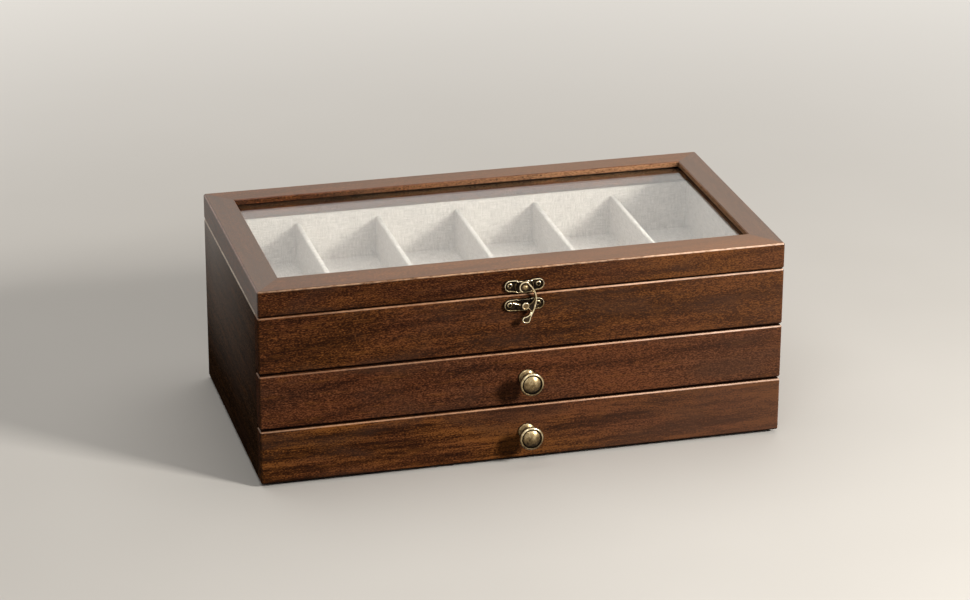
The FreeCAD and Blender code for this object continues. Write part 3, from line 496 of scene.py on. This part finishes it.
# Brass fittings: pressed, blackened and then rubbed bright on whatever stands proud.
# A piece's "polish" attribute says how much of each spot the rubbing has reached, and on
# upper edges and upper sides it is raised further as a painted highlight.
def patina_group():
    """Blackened brass with the given polish, unevenly rubbed."""
    group, entry, leave = new_group(
        "rubbed_brass",
        [("Vector", "NodeSocketVector", None), ("Polish", "NodeSocketFloat", 0.5)],
        [("Color", "NodeSocketColor"), ("Roughness", "NodeSocketFloat"),
         ("Height", "NodeSocketFloat")])
    cloud = stretched_noise(group, entry["Vector"], (420, 420, 420), 4.0, 0.6)
    specks = stretched_noise(group, entry["Vector"], (1700, 1700, 1700), 3.0, 0.6)
    rubbed = plus(group, entry["Polish"],
                  times(group, calc(group, "SUBTRACT", cloud, 0.5), 0.9))
    rubbed = plus(group, rubbed,
                  times(group, calc(group, "SUBTRACT", specks, 0.5), 0.35), clamp=True)
    colour = colour_ramp(group, rubbed, [(0.0, stain(24, 20, 16)), (0.3, stain(66, 55, 41)),
                                         (0.55, stain(130, 110, 78)), (0.8, stain(196, 177, 138)),
                                         (1.0, stain(232, 219, 188))])
    rough = calc(group, "SUBTRACT", 0.5, times(group, rubbed, 0.3))
    return close_group(group, leave, {"Color": colour, "Roughness": rough, "Height": cloud})


PATINA = patina_group()


def rubbed_brass(name, plain_polish=None, dents=0.05 * MM):
    """Blackened brass; with plain_polish given, the whole piece is rubbed alike."""
    material, tree, shader = new_material(name)
    where = put(tree, "ShaderNodeTexCoord").outputs["Object"]
    polish = plain_polish
    if plain_polish is None:
        polish = put(tree, "ShaderNodeAttribute", attribute_name="polish").outputs["Fac"]
    inputs = {"Vector": where, "Polish": polish}
    brass = put(tree, "ShaderNodeGroup", inputs, node_tree=PATINA).outputs
    tree.links.new(brass["Color"], shader.inputs["Base Color"])
    tree.links.new(brass["Roughness"], shader.inputs["Roughness"])
    emboss(tree, shader, brass["Height"], 0.5, dents)
    shader.inputs["Metallic"].default_value = 1.0
    return material


latch_brass = rubbed_brass("brass_latch")


# Latch plates: two round ends joined by a broad middle, each with a raised bead round it.
# The upper one has a raised disc that carries the hook, the lower one a slanting rib, and
# two screws hold each. Sizes are in millimetres, seen from the front.
PLATE = {"end_x": 9.4, "end_radius": 3.9, "middle_x": 4.3, "middle_half": 4.0,
         "bead": 0.8, "bead_level": 2.0, "field_level": 0.9, "hollow": 2.1}
DISC = {"flat_to": 5.9, "gone_by": 6.3, "level": 1.85, "groove": 4.9, "groove_width": 0.5,
        "groove_depth": 0.4, "step": 6.05, "step_width": 0.25}
RIB = {"start": Vector((-7.4, 1.3)), "end": Vector((-2.4, -0.5)), "width": 0.48, "rise": 0.65}


def middle_of(node):
    low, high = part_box(node)
    return (low + high) / 2


case_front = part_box("front_panel")[0].y
pivot = middle_of("latch_rivet")
post_centre = middle_of("keeper_post")


def arc(centre, radius, start, end, steps):
    """Points on an arc, in degrees counted to the left from the right-hand side."""
    for i in range(steps + 1):
        angle = math.radians(start + (end - start) * i / steps)
        yield (centre[0] + radius * math.cos(angle), centre[1] + radius * math.sin(angle))


def curve(start, pull, push, end, steps=8):
    """Points on a smooth curve, without its last one."""
    corners = [Vector(point).to_3d() for point in (start, pull, push, end)]
    return [point.to_2d()[:] for point in interpolate_bezier(*corners, steps + 1)][:-1]


def evenly(outline, step):
    """The same closed outline with points at most one step apart."""
    points = []
    for start, end in zip(outline, outline[1:] + outline[:1]):
        count = max(1, math.ceil(math.dist(start, end) / step))
        for i in range(count):
            share = i / count
            points.append(tuple(a + (b - a) * share for a, b in zip(start, end)))
    return points


def distance_to(line, step=0.05):
    """A function that says how far a point lies from a line of points, to within a step."""
    close = [point for start, end in zip(line, line[1:])
             for point in evenly([start, end], step)]
    tree = KDTree(len(close))
    for i, (x, z) in enumerate(close):
        tree.insert((x, z, 0), i)
    tree.balance()
    return lambda x, z: tree.find((x, z, 0))[2]


def inside(x, z, outline):
    """Whether a line to the right of a point crosses the outline an odd number of times."""
    crossings = 0
    for (ax, az), (bx, bz) in zip(outline, outline[1:] + outline[:1]):
        if (az > z) != (bz > z) and x < ax + (z - az) / (bz - az) * (bx - ax):
            crossings += 1
    return crossings % 2 == 1


ROW_SHARE = 0.87
EDGE_SHARE = 0.45
FILL_INSIDE = 1
JOIN_WITHIN = 1e-5


def pressed(name, outline, relief, origin, back_level, step=0.2):
    """A pressed metal piece over an outline in millimetres, seen from the front.

    relief(x, z, edge) gives the front's level above the wood and how far it is rubbed bright;
    a level counts towards the front, and back_level(x, z) is where the piece's back lies.
    """
    rim = evenly(outline, step)
    low_x, high_x = min(p[0] for p in rim), max(p[0] for p in rim)
    low_z, high_z = min(p[1] for p in rim), max(p[1] for p in rim)
    spots = list(rim)
    to_edge = distance_to(rim + rim[:1])
    for row in range(int((high_z - low_z) / (step * ROW_SHARE)) + 1):
        z = low_z + row * step * ROW_SHARE
        for column in range(int((high_x - low_x) / step) + 1):
            x = low_x + (column + 0.5 * (row % 2)) * step
            if to_edge(x, z) > step * EDGE_SHARE and inside(x, z, rim):
                spots.append((x, z))
    ring = [(i, (i + 1) % len(rim)) for i in range(len(rim))]
    flat, _, faces, *_ = delaunay_2d_cdt([Vector(p) for p in spots], ring, [], FILL_INSIDE,
                                         JOIN_WITHIN)
    count = len(flat)
    vertices = []
    polish = []
    for spot in flat:
        level, rubbed = relief(spot.x, spot.y, to_edge(spot.x, spot.y))
        vertices.append(origin + Vector((spot.x, -level, spot.y)) * MM)
        polish.append(rubbed)
    for spot in flat:
        vertices.append(origin + Vector((spot.x, -back_level(spot.x, spot.y), spot.y)) * MM)
        polish.append(0.0)
    sides = [(i, j, j + count, i + count) for i, j in ring]
    backs = [tuple(count + i for i in reversed(face)) for face in faces]
    return metal_piece(name, vertices, [tuple(face) for face in faces] + backs + sides, polish)


def placed(name, data):
    """A new object in the scene."""
    piece = bpy.data.objects.new(name, data)
    bpy.context.scene.collection.objects.link(piece)
    return piece


def metal_piece(name, vertices, faces, polish, sharp_angle=math.radians(50)):
    """An object of a closed mesh, with its normals out and its sharp edges kept."""
    mesh = bpy.data.meshes.new(name)
    mesh.from_pydata(vertices, [], faces)
    mesh.attributes.new("polish", "FLOAT", "POINT").data.foreach_set("value", polish)
    work = bmesh.new()
    work.from_mesh(mesh)
    bmesh.ops.recalc_face_normals(work, faces=work.faces)
    work.to_mesh(mesh)
    work.free()
    mesh.shade_smooth()
    mesh.set_sharp_from_angle(angle=sharp_angle)
    return placed(name, mesh)


def settle(piece, material, slot, body, *nodes):
    """Gives a piece its finish and its body, and lets it stand for its CAD nodes."""
    piece.data.materials.clear()
    piece.data.materials.append(material)
    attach(piece, body)
    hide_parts(*nodes)


def smooth_step(low, high, value):
    share = min(max((value - low) / (high - low), 0.0), 1.0)
    return share * share * (3 - 2 * share)


def bead_height(edge, width):
    """A half-round bead along an edge, from 0 to 1."""
    if edge >= width:
        return 0.0
    across = (edge - width / 2) / (width / 2)
    return math.sqrt(max(1 - across * across, 0.0))


def bump_at(distance, width, power=2):
    """A soft rise that is 1 at a line and fades within a width."""
    return math.exp(-(distance / width) ** power)


def plate_outline(end_z, middle_z):
    """Two round ends at end_z, joined by a broad middle at middle_z."""
    end_x, radius = PLATE["end_x"], PLATE["end_radius"]
    corner_x, half = PLATE["middle_x"], PLATE["middle_half"]
    top, low = middle_z + half, middle_z - half
    right = [(corner_x, top)]
    right += curve((corner_x, top), (corner_x + 0.6, top + 0.9), (end_x - 3.0, end_z + radius),
                   (end_x, end_z + radius))[1:]
    right += arc((end_x, end_z), radius, 90, -90, 28)
    right += curve((end_x, end_z - radius), (end_x - 2.6, end_z - radius),
                   (corner_x + 1.0, low + 0.1), (corner_x, low))[1:]
    right.append((corner_x, low))
    left = [(-x, z) for x, z in reversed(right)]
    return left + right


def beaded_field(edge):
    """The bead round a plate, from 0 to 1, and the level that it gives the plate."""
    bead = bead_height(edge, PLATE["bead"])
    return bead, PLATE["field_level"] + bead * (PLATE["bead_level"] - PLATE["field_level"])


def height_share(z):
    """How high a spot lies on its plate, from 0 to 1: by it the upper edges get a brighter painted
    highlight.
    """
    return smooth_step(-PLATE["middle_half"], PLATE["middle_half"], z)


def upper_relief(end_z):
    """The upper plate's relief: a raised disc with a shallow groove, and hollows for screws."""
    def relief(x, z, edge):
        bead, level = beaded_field(edge)
        reach = math.hypot(x, z)
        disc = 1 - smooth_step(DISC["flat_to"], DISC["gone_by"], reach)
        groove = bump_at(reach - DISC["groove"], DISC["groove_width"])
        raised = DISC["level"] - DISC["groove_depth"] * groove + 0.4 * bead
        level = max(level, PLATE["field_level"] + disc * (raised - PLATE["field_level"]))
        step = bump_at(reach - DISC["step"], DISC["step_width"])
        hollow = bump_at(math.hypot(abs(x) - PLATE["end_x"], z - end_z), PLATE["hollow"], 4)
        # The bead's polish rises towards the plate's upper edge: a painted highlight.
        rubbed = 0.05 + (0.75 + 0.3 * height_share(z)) * bead + 0.55 * step - 0.12 * hollow
        return level, rubbed
    return relief


def lower_relief(x, z, edge):
    """The lower plate's relief: a slanting rib at the left of the post."""
    bead, level = beaded_field(edge)
    foot, share = intersect_point_line(Vector((x, z)), RIB["start"], RIB["end"])
    foot = RIB["start"] if share < 0 else RIB["end"] if share > 1 else foot
    rib = bump_at((Vector((x, z)) - foot.to_2d()).length, RIB["width"])
    # The bead's polish rises towards the plate's upper edge: a painted highlight.
    return level + rib * RIB["rise"], 0.05 + (0.6 + 0.4 * height_share(z)) * bead + rib


def flat_back(x, z):
    return 0.0


screws_low, screws_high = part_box("latch_screws")
plate_rise = (screws_low.z + screws_high.z) / 2 - pivot.z
latch_origin = Vector((pivot.x, case_front, pivot.z))
keeper_origin = Vector((post_centre.x, case_front, post_centre.z))
settle(pressed("latch_plate_pressed", plate_outline(plate_rise / MM, 0.0),
               upper_relief(plate_rise / MM), latch_origin, flat_back),
       latch_brass, "latch_brass", "lid", "latch_plate")
settle(pressed("keeper_plate_pressed", plate_outline(0.0, -0.2), lower_relief, keeper_origin,
               flat_back),
       latch_brass, "latch_brass", "case", "keeper_plate")


# Latch hook: a flat cast crescent that swings on the rivet and drops over the post. Its
# back is flat, a bead follows its edges, and its flared tail bends forward for the finger.
HOOK_LEVEL = 2.35
HOOK_THICK = 1.35
FIELD_DROP = 0.45
BEAD_RISE = 0.5
BEADS = {"outer": 1.15, "flare": 0.75, "mouth": 0.7}
TAIL_RISE = 2.9
TAIL_BEND = (-11.0, -23.5)
FLARE = (-19.0, -22.0)


def tail_bend(x, z):
    """The level of the hook's back, which comes forward along its tail."""
    return HOOK_LEVEL + TAIL_RISE * smooth_step(*TAIL_BEND, z)


def hook_lines():
    """The hook's outer edge and the edge of its mouth, each as a line of points."""
    ring = list(arc((0, 0), 4.05, 232, 58, 34))
    back = [(3.4, 1.9), (4.93, 0.12), (6.28, -2.05), (7.34, -4.4), (7.95, -6.7), (8.05, -8.9),
            (7.8, -10.9), (7.25, -13.0), (6.6, -14.8), (5.65, -16.5), (4.6, -18.1), (3.7, -19.5)]
    tail = curve((3.3, -20.4), (3.0, -21.3), (2.8, -22.5), (1.9, -23.4), 6)
    tip = curve((1.9, -23.4), (0.4, -23.7), (-0.9, -23.6), (-2.1, -22.8), 6)
    flare = curve((-2.1, -22.8), (-2.8, -21.8), (-2.6, -20.0), (-1.2, -19.5), 7)
    neck = curve((-1.2, -19.5), (1.0, -19.3), (2.3, -18.6), (3.4, -16.7), 7)
    lower_lip = curve((3.4, -16.7), (3.7, -15.8), (2.4, -14.9), (0.5, -13.8), 6)
    notch = list(arc((0, -12.3), 1.55, -70, 62, 12))
    upper_lip = curve((0.75, -10.9), (1.9, -11.3), (2.6, -11.7), (3.4, -11.4), 5)[1:]
    mouth = curve((3.4, -11.4), (7.6, -8.4), (7.2, -3.4), (3.2, -2.75), 14)
    return ring + back + tail + tip + flare + neck, lower_lip + notch + upper_lip + mouth


OUTER_LINE, MOUTH_LINE = hook_lines()
to_outer = distance_to(OUTER_LINE)
to_mouth = distance_to(MOUTH_LINE)


def hook_relief(x, z, edge):
    """The hook's front, with a broad bead along its outer edge and a thin one at its mouth."""
    outer = bead_height(to_outer(x, z), BEADS["outer"] if z > FLARE[0] else BEADS["flare"])
    mouth = bead_height(to_mouth(x, z), BEADS["mouth"])
    level = tail_bend(x, z) + HOOK_THICK - FIELD_DROP + BEAD_RISE * max(outer, mouth)
    return level, 0.1 + max(0.85 * outer, 0.4 * mouth) + 0.05 * smooth_step(*FLARE, z)


settle(pressed("latch_hook_cast", OUTER_LINE + MOUTH_LINE, hook_relief, latch_origin, tail_bend),
       latch_brass, "latch_brass", "latch_hook", "latch_hook")


# Rivet and post: turned brass pins. The rivet's domed head holds the hook to its plate, and
# the post's flat head has a rubbed rim round a dark hollow.
def turned(name, outline, origin, segments=72):
    """A turned piece on an axis that points to the front, with a painted highlight on its upper
    side.

    The outline's corners are (radius, level, polish) in millimetres, from the back's middle.
    """
    vertices = []
    polish = []
    starts = []
    for radius, level, rubbed in outline:
        starts.append(len(vertices))
        for i in range(1 if radius == 0 else segments):
            angle = 2 * math.pi * i / segments
            spot = Vector((radius * math.cos(angle), -level, radius * math.sin(angle)))
            vertices.append(origin + spot * MM)
            # Painted highlight: the polish is raised on the upper side and lowered on the lower
            # side.
            polish.append(rubbed + 0.25 * math.sin(angle) * min(radius / 6, 1))
    faces = []
    for (low, low_start), (high, high_start) in zip(zip(outline, starts),
                                                    zip(outline[1:], starts[1:])):
        for i in range(segments):
            j = (i + 1) % segments
            corners = [low_start + (i if low[0] else 0), low_start + (j if low[0] else 0),
                       high_start + (j if high[0] else 0), high_start + (i if high[0] else 0)]
            faces.append(tuple(dict.fromkeys(corners)))
    return metal_piece(name, vertices, faces, polish)


def dome(radius, low, high, steps, polish_low, polish_high):
    """The (radius, level, polish) corners of a round cap, from its edge to its middle."""
    rise = high - low
    sphere = (radius * radius + rise * rise) / (2 * rise)
    widest = math.asin(min(radius / sphere, 1.0))
    for i in range(steps):
        angle = widest * (1 - i / steps)
        level = high - sphere * (1 - math.cos(angle))
        yield (sphere * math.sin(angle), level,
               polish_low + (polish_high - polish_low) * i / steps)
    yield (0, high, polish_high)


SHAFT = [(0, -4.0, 0), (1.1, -4.0, 0)]
rivet = SHAFT + [(1.1, 3.3, 0), (2.05, 3.35, 0), (2.15, 3.6, 0.1)]
rivet += dome(2.1, 3.75, 5.1, 12, 0.42, 0.5)
settle(turned("latch_rivet_turned", rivet, latch_origin), latch_brass, "latch_brass", "lid",
       "latch_rivet")
post = SHAFT + [(1.1, 3.95, 0), (2.1, 3.95, 0.2), (2.4, 4.2, 0.5), (2.4, 4.9, 0.7),
                (2.25, 5.2, 0.9), (2.0, 5.3, 0.95), (1.75, 5.2, 0.7), (1.6, 5.05, 0.5),
                (1.0, 5.0, 0.45), (0, 5.0, 0.42)]
settle(turned("keeper_post_turned", post, keeper_origin), latch_brass, "latch_brass", "case",
       "keeper_post")


# Screws: small cross-head wood screws, brassed like the fittings that they hold. One tree
# sets a head at each place and gives each its own turn, as a screwdriver left them.
def screw_tree():
    """A geometry tree that sets a screw at each point of a mesh, faced and turned."""
    tree = bpy.data.node_groups.new("screws_at_places", "GeometryNodeTree")
    for name, kind in (("Geometry", "Geometry"), ("Screw", "Object"), ("Facing", "Vector"),
                       ("Seed", "Int"), ("Finish", "Material")):
        tree.interface.new_socket(name, in_out="INPUT", socket_type=f"NodeSocket{kind}")
    tree.interface.new_socket("Geometry", in_out="OUTPUT", socket_type="NodeSocketGeometry")
    entry = tree.nodes.new("NodeGroupInput").outputs
    screw = put(tree, "GeometryNodeObjectInfo", {"Object": entry["Screw"]})
    turn = put(tree, "FunctionNodeRandomValue", {"Seed": entry["Seed"]}, data_type="FLOAT")
    turn.inputs[3].default_value = 2 * math.pi
    spin = put(tree, "ShaderNodeCombineXYZ", {"Z": turn.outputs[1]})
    faced = put(tree, "GeometryNodeInstanceOnPoints",
                {"Points": entry["Geometry"], "Instance": screw.outputs["Geometry"],
                 "Rotation": entry["Facing"]})
    spun = put(tree, "GeometryNodeRotateInstances",
               {"Instances": faced.outputs[0], "Rotation": spin.outputs[0],
                "Local Space": True})
    real = put(tree, "GeometryNodeRealizeInstances", {0: spun.outputs[0]})
    finish = put(tree, "GeometryNodeSetMaterial", {"Geometry": real.outputs[0],
                                                   "Material": entry["Finish"]})
    leave = tree.nodes.new("NodeGroupOutput")
    tree.links.new(finish.outputs[0], leave.inputs[0])
    return tree


SCREW_TREE = screw_tree()


SHANK = 6.0
HEAD_THICK = 1.0


def screw_head(name, radius, crown):
    """One screw that points up: a domed or flat head with a cross recess, and its shank."""
    slot, depth, reach = 0.36 * radius, 0.45 * radius, 0.7 * radius

    def groove(across, along):
        return 1 - smooth_step(slot * 0.5, slot, abs(across)) if abs(along) < reach else 0.0

    def relief(x, z, edge):
        recess = max(groove(x, z), groove(z, x))
        cap = crown * (1 - (math.hypot(x, z) / radius) ** 2)
        ring = bead_height(edge, radius * 0.5)
        return cap - recess * depth, 0.3 + 0.6 * ring - 0.35 * recess

    def back(x, z):
        return -HEAD_THICK if math.hypot(x, z) > radius * 0.5 else -SHANK
    outline = list(arc((0, 0), radius, 0, 360, 40))[:-1]
    head = pressed(name, outline, relief, Vector(), back, radius * 0.09)
    head.data.transform(Euler((math.radians(-90), 0, 0)).to_matrix().to_4x4())
    return head


def set_screws(name, places, facing, head, material, seed):
    """Screws at places in metres; facing turns the heads from upwards to where they look."""
    mesh = bpy.data.meshes.new(name)
    mesh.from_pydata(places, [], [])
    holder = placed(name, mesh)
    modifier = holder.modifiers.new("screws", "NODES")
    modifier.node_group = SCREW_TREE
    values = {"Screw": head, "Facing": facing, "Seed": seed, "Finish": material}
    for socket in SCREW_TREE.interface.items_tree:
        if socket.in_out == "INPUT" and socket.name in values:
            modifier[socket.identifier] = values[socket.name]
    evaluated = holder.evaluated_get(bpy.context.evaluated_depsgraph_get())
    result = bpy.data.meshes.new_from_object(evaluated)
    bpy.data.objects.remove(holder)
    return placed(name, result)


round_head = screw_head("screw_round", 1.75, 0.7)
flat_head = screw_head("screw_flat", 1.6, 0.04)
FORWARD = (math.radians(90), 0.0, 0.0)
UPWARD = (0.0, 0.0, 0.0)
DOWNWARD = (math.radians(180), 0.0, 0.0)
end_shift = PLATE["end_x"] * MM
plate_face = case_front - PLATE["field_level"] * MM
for plate, body, level, seed in (("latch", "lid", pivot.z + plate_rise, 3),
                                 ("keeper", "case", post_centre.z, 8)):
    places = [(pivot.x + side * end_shift, plate_face, level) for side in (-1, 1)]
    screws = set_screws(f"{plate}_screws_set", places, FORWARD, round_head, latch_brass, seed)
    settle(screws, latch_brass, "latch_brass", body, f"{plate}_screws")


# Hinges: two small brass butt hinges, with their leaves let in to the lid's back rail and the
# back panel. A pin goes through each one's knuckles, and countersunk screws hold its leaves.
hinge_brass = rubbed_brass("brass_hinge", plain_polish=0.42)
dress([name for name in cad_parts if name.startswith("hinge_") and name.endswith("leaf")],
      hinge_brass)
dress(["hinge_pins"], rubbed_brass("brass_pin", plain_polish=0.55))


HINGE_SCREW_SHIFT = 10 * MM


def hinge_screw_places(level):
    """Two places for screws in each hinge's leaf, at a height."""
    low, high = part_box("hinge_case_screws")
    for side in ("left", "right"):
        middle = middle_of(f"hinge_{side}_case_leaf")
        for way in (-1, 1):
            yield (middle.x + way * HINGE_SCREW_SHIFT, (low.y + high.y) / 2, level)


for body, level, facing, seed in (("case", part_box("back_panel")[1].z, UPWARD, 5),
                                  ("lid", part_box("lid_rail_back")[0].z, DOWNWARD, 6)):
    screws = set_screws(f"hinge_{body}_screws_set", list(hinge_screw_places(level)), facing,
                        flat_head, hinge_brass, seed)
    settle(screws, hinge_brass, "hinge_brass", body, f"hinge_{body}_screws")
for head in (round_head, flat_head):
    bpy.data.objects.remove(head)


# Drawers: boxes of plain boards behind full fronts of the case's timber, lined with the same
# linen. The upper front is plum-toned, the lower one redder with straighter grain.
for drawer, seed, tones, figure, streaks, paler in (
        ("upper_drawer", 12.8, (PLUMMY, REDDENED), 0.14, 0.5, 0.08),
        ("lower_drawer", 15.3, (REDDENED, YELLOWED), 0.04, 1.7, 0.2)):
    dress([f"{drawer}_front"], board_wood(f"wood_{drawer}_front", "X", seed, *tones, PEACH,
                                          figure=figure, streaks=streaks, paler_right=paler,
                                          covered=True))
    dress([f"{drawer}_back", f"{drawer}_bottom"],
          board_wood(f"wood_{drawer}_across", "X", seed + 1, BARE, BARE, BARE[2]))
    dress([f"{drawer}_side_left", f"{drawer}_side_right"],
          board_wood(f"wood_{drawer}_along", "Y", seed + 2, BARE, BARE, BARE[2]))
dress(["upper_drawer_lining", "lower_drawer_lining"], tray_linen)


# Knobs: turned brass mushrooms with a flange at the wood, a waisted neck, a rolled rim and
# a dome in a dark groove. Each is drawn up by a steel screw from inside the drawer.
def zinc_steel():
    """Bright zinc with a faint cloud, for the screws inside the drawers."""
    material, tree, shader = new_material("steel_zinc")
    where = put(tree, "ShaderNodeTexCoord").outputs["Object"]
    dull = stretched_noise(tree, where, (900, 900, 900), 3.0)
    colour = colour_ramp(tree, dull, [(0.3, stain(150, 148, 142)), (0.7, stain(196, 194, 188))])
    tree.links.new(colour, shader.inputs["Base Color"])
    tree.links.new(remap(tree, dull, 0.2, 0.8, 0.3, 0.5), shader.inputs["Roughness"])
    shader.inputs["Metallic"].default_value = 1.0
    return material


knob_brass = rubbed_brass("brass_knob", dents=0.12 * MM)
steel = zinc_steel()
knob = [(0, 0.0, 0), (5.6, 0.0, 0.1), (5.8, 0.3, 0.3), (5.75, 0.8, 0.5), (5.4, 1.3, 0.5),
        (4.8, 1.7, 0.35), (4.2, 2.0, 0.35), (3.6, 2.5, 0.2), (3.1, 3.4, 0.1), (2.95, 4.4, 0.1),
        (3.1, 5.6, 0.1), (3.8, 7.4, 0.15), (5.1, 9.1, 0.2), (6.6, 10.4, 0.3), (7.6, 11.2, 0.45),
        (7.95, 11.7, 0.6), (8.05, 12.2, 0.45), (7.95, 12.75, 0.4), (7.65, 13.2, 0.55),
        (7.3, 13.5, 0.7), (6.95, 13.6, 0.75), (6.65, 13.45, 0.5), (6.5, 13.2, -0.1),
        (6.45, 12.9, -0.6), (5.9, 12.85, -0.6), (5.85, 13.0, -0.1)]
knob += dome(5.8, 13.1, 15.2, 16, 0.46, 0.56)
for drawer in ("upper_drawer", "lower_drawer"):
    middle = middle_of(f"{drawer}_knob")
    knob_origin = Vector((middle.x, case_front, middle.z))
    settle(turned(f"{drawer}_knob_turned", knob, knob_origin, 96), knob_brass, "knob_brass",
           drawer, f"{drawer}_knob")
    dress([f"{drawer}_knob_screw"], steel)


# Studio: a wide pale floor, a soft lamp from the upper right, a weak one from the left, and
# a broad one overhead that lights the lid, the tray and the back.
FLOOR_HALF = 6.0
FLOOR_FADE = (0.4, 1.2)
UNLIT = (0.08, 0.08, 0.08, 1)
FAR_GLOW = (0.78, 0.745, 0.69, 1)


def floor_finish():
    """Pale all round: the nearer floor takes the light and the shadow, the rest glows."""
    material, tree, shader = new_material("floor_pale")
    where = put(tree, "ShaderNodeTexCoord").outputs["Object"]
    cloud = stretched_noise(tree, where, (3, 3, 3), 3.0)
    colour = colour_ramp(tree, cloud, [(0.3, (0.6, 0.58, 0.55, 1)), (0.7, (0.64, 0.62, 0.59, 1))])
    reach = put(tree, "ShaderNodeVectorMath", {0: where}, operation="LENGTH").outputs[1]
    far = remap(tree, reach, *FLOOR_FADE)
    diffuse_ray = put(tree, "ShaderNodeLightPath").outputs["Is Diffuse Ray"]
    lit = blend(tree, diffuse_ray, blend(tree, far, colour, UNLIT), UNLIT)
    tree.links.new(lit, shader.inputs["Base Color"])
    shown = times(tree, far, calc(tree, "SUBTRACT", 1.0, diffuse_ray))
    tree.links.new(blend(tree, shown, (0, 0, 0, 1), FAR_GLOW), shader.inputs["Emission Color"])
    shader.inputs["Emission Strength"].default_value = 1.0
    shader.inputs["Roughness"].default_value = 0.8
    shader.inputs["Specular IOR Level"].default_value = 0.1
    return material


floor_mesh = bpy.data.meshes.new("floor")
floor_mesh.from_pydata([(-FLOOR_HALF, -FLOOR_HALF, 0), (FLOOR_HALF, -FLOOR_HALF, 0),
                        (FLOOR_HALF, FLOOR_HALF, 0), (-FLOOR_HALF, FLOOR_HALF, 0)],
                       [], [(0, 1, 2, 3)])
floor = placed("floor", floor_mesh)
floor_mesh.materials.append(floor_finish())


LAMPS_LOOK_AT = Vector((0, 0, 0.08))


def add_lamp(name, towards, distance, size, power, colour):
    """A rectangular lamp that looks at the case from a direction."""
    away = Vector(towards).normalized()
    lamp = bpy.data.lights.new(name, "AREA")
    lamp.shape = "RECTANGLE"
    lamp.size, lamp.size_y = size
    lamp.energy = power
    lamp.color = colour
    holder = placed(name, lamp)
    holder.location = LAMPS_LOOK_AT + away * distance
    holder.rotation_euler = away.to_track_quat("Z", "Y").to_euler()


add_lamp("window_light", (0.9, -1.0, 0.68), 1.5, (0.27, 0.27), 23.0, (1.0, 0.96, 0.9))
add_lamp("left_light", (-0.31, -0.64, 0.71), 1.6, (0.5, 0.35), 2.5, (1.0, 0.98, 0.95))
add_lamp("ceiling_light", (0.0, 0.3, 1.0), 1.7, (2.4, 1.8), 19.0, (1.0, 0.97, 0.93))


# Air: a faint warm light from all round. The camera and reflections see it in full, so that
# the varnish and the pane have something pale to mirror.
AIR_COLOUR = (1.0, 0.975, 0.925, 1.0)
AIR_STRENGTH = 0.11
world = bpy.data.worlds.new("studio_air")
bpy.context.scene.world = world
world.use_nodes = True
air = world.node_tree
rays = put(air, "ShaderNodeLightPath").outputs
mirrored = calc(air, "MAXIMUM", rays["Is Glossy Ray"], rays["Is Transmission Ray"])
seen = calc(air, "MAXIMUM", rays["Is Camera Ray"], mirrored)
background = air.nodes["Background"].inputs
air.links.new(remap(air, seen, 0.0, 1.0, AIR_STRENGTH, 1.0), background["Strength"])
background["Color"].default_value = AIR_COLOUR


# Camera: it stands a little to the left of the case with a long lens, and looks down on it,
# so that the lid, the fronts and the left side show.
CAMERA_TURN = math.radians(-14.94)
CAMERA_DOWN = math.radians(21.86)
CAMERA_ROLL = math.radians(0.19)
CAMERA_DISTANCE = 2.0804
CAMERA_AIM = Vector((-0.0273, case_front, 0.1155))
away = Vector((math.sin(CAMERA_TURN) * math.cos(CAMERA_DOWN),
               -math.cos(CAMERA_TURN) * math.cos(CAMERA_DOWN), math.sin(CAMERA_DOWN)))
lens = bpy.data.cameras.new("camera")
lens.sensor_width = 36.0
lens.lens = 120.95
camera = placed("camera", lens)
camera.location = CAMERA_AIM + away * CAMERA_DISTANCE
turn = Euler((math.pi / 2 - CAMERA_DOWN, 0, CAMERA_TURN)).to_matrix()
camera.rotation_euler = (turn @ Euler((0, 0, CAMERA_ROLL)).to_matrix()).to_euler()
bpy.context.scene.camera = camera
bpy.context.scene.view_settings.view_transform = "Standard"
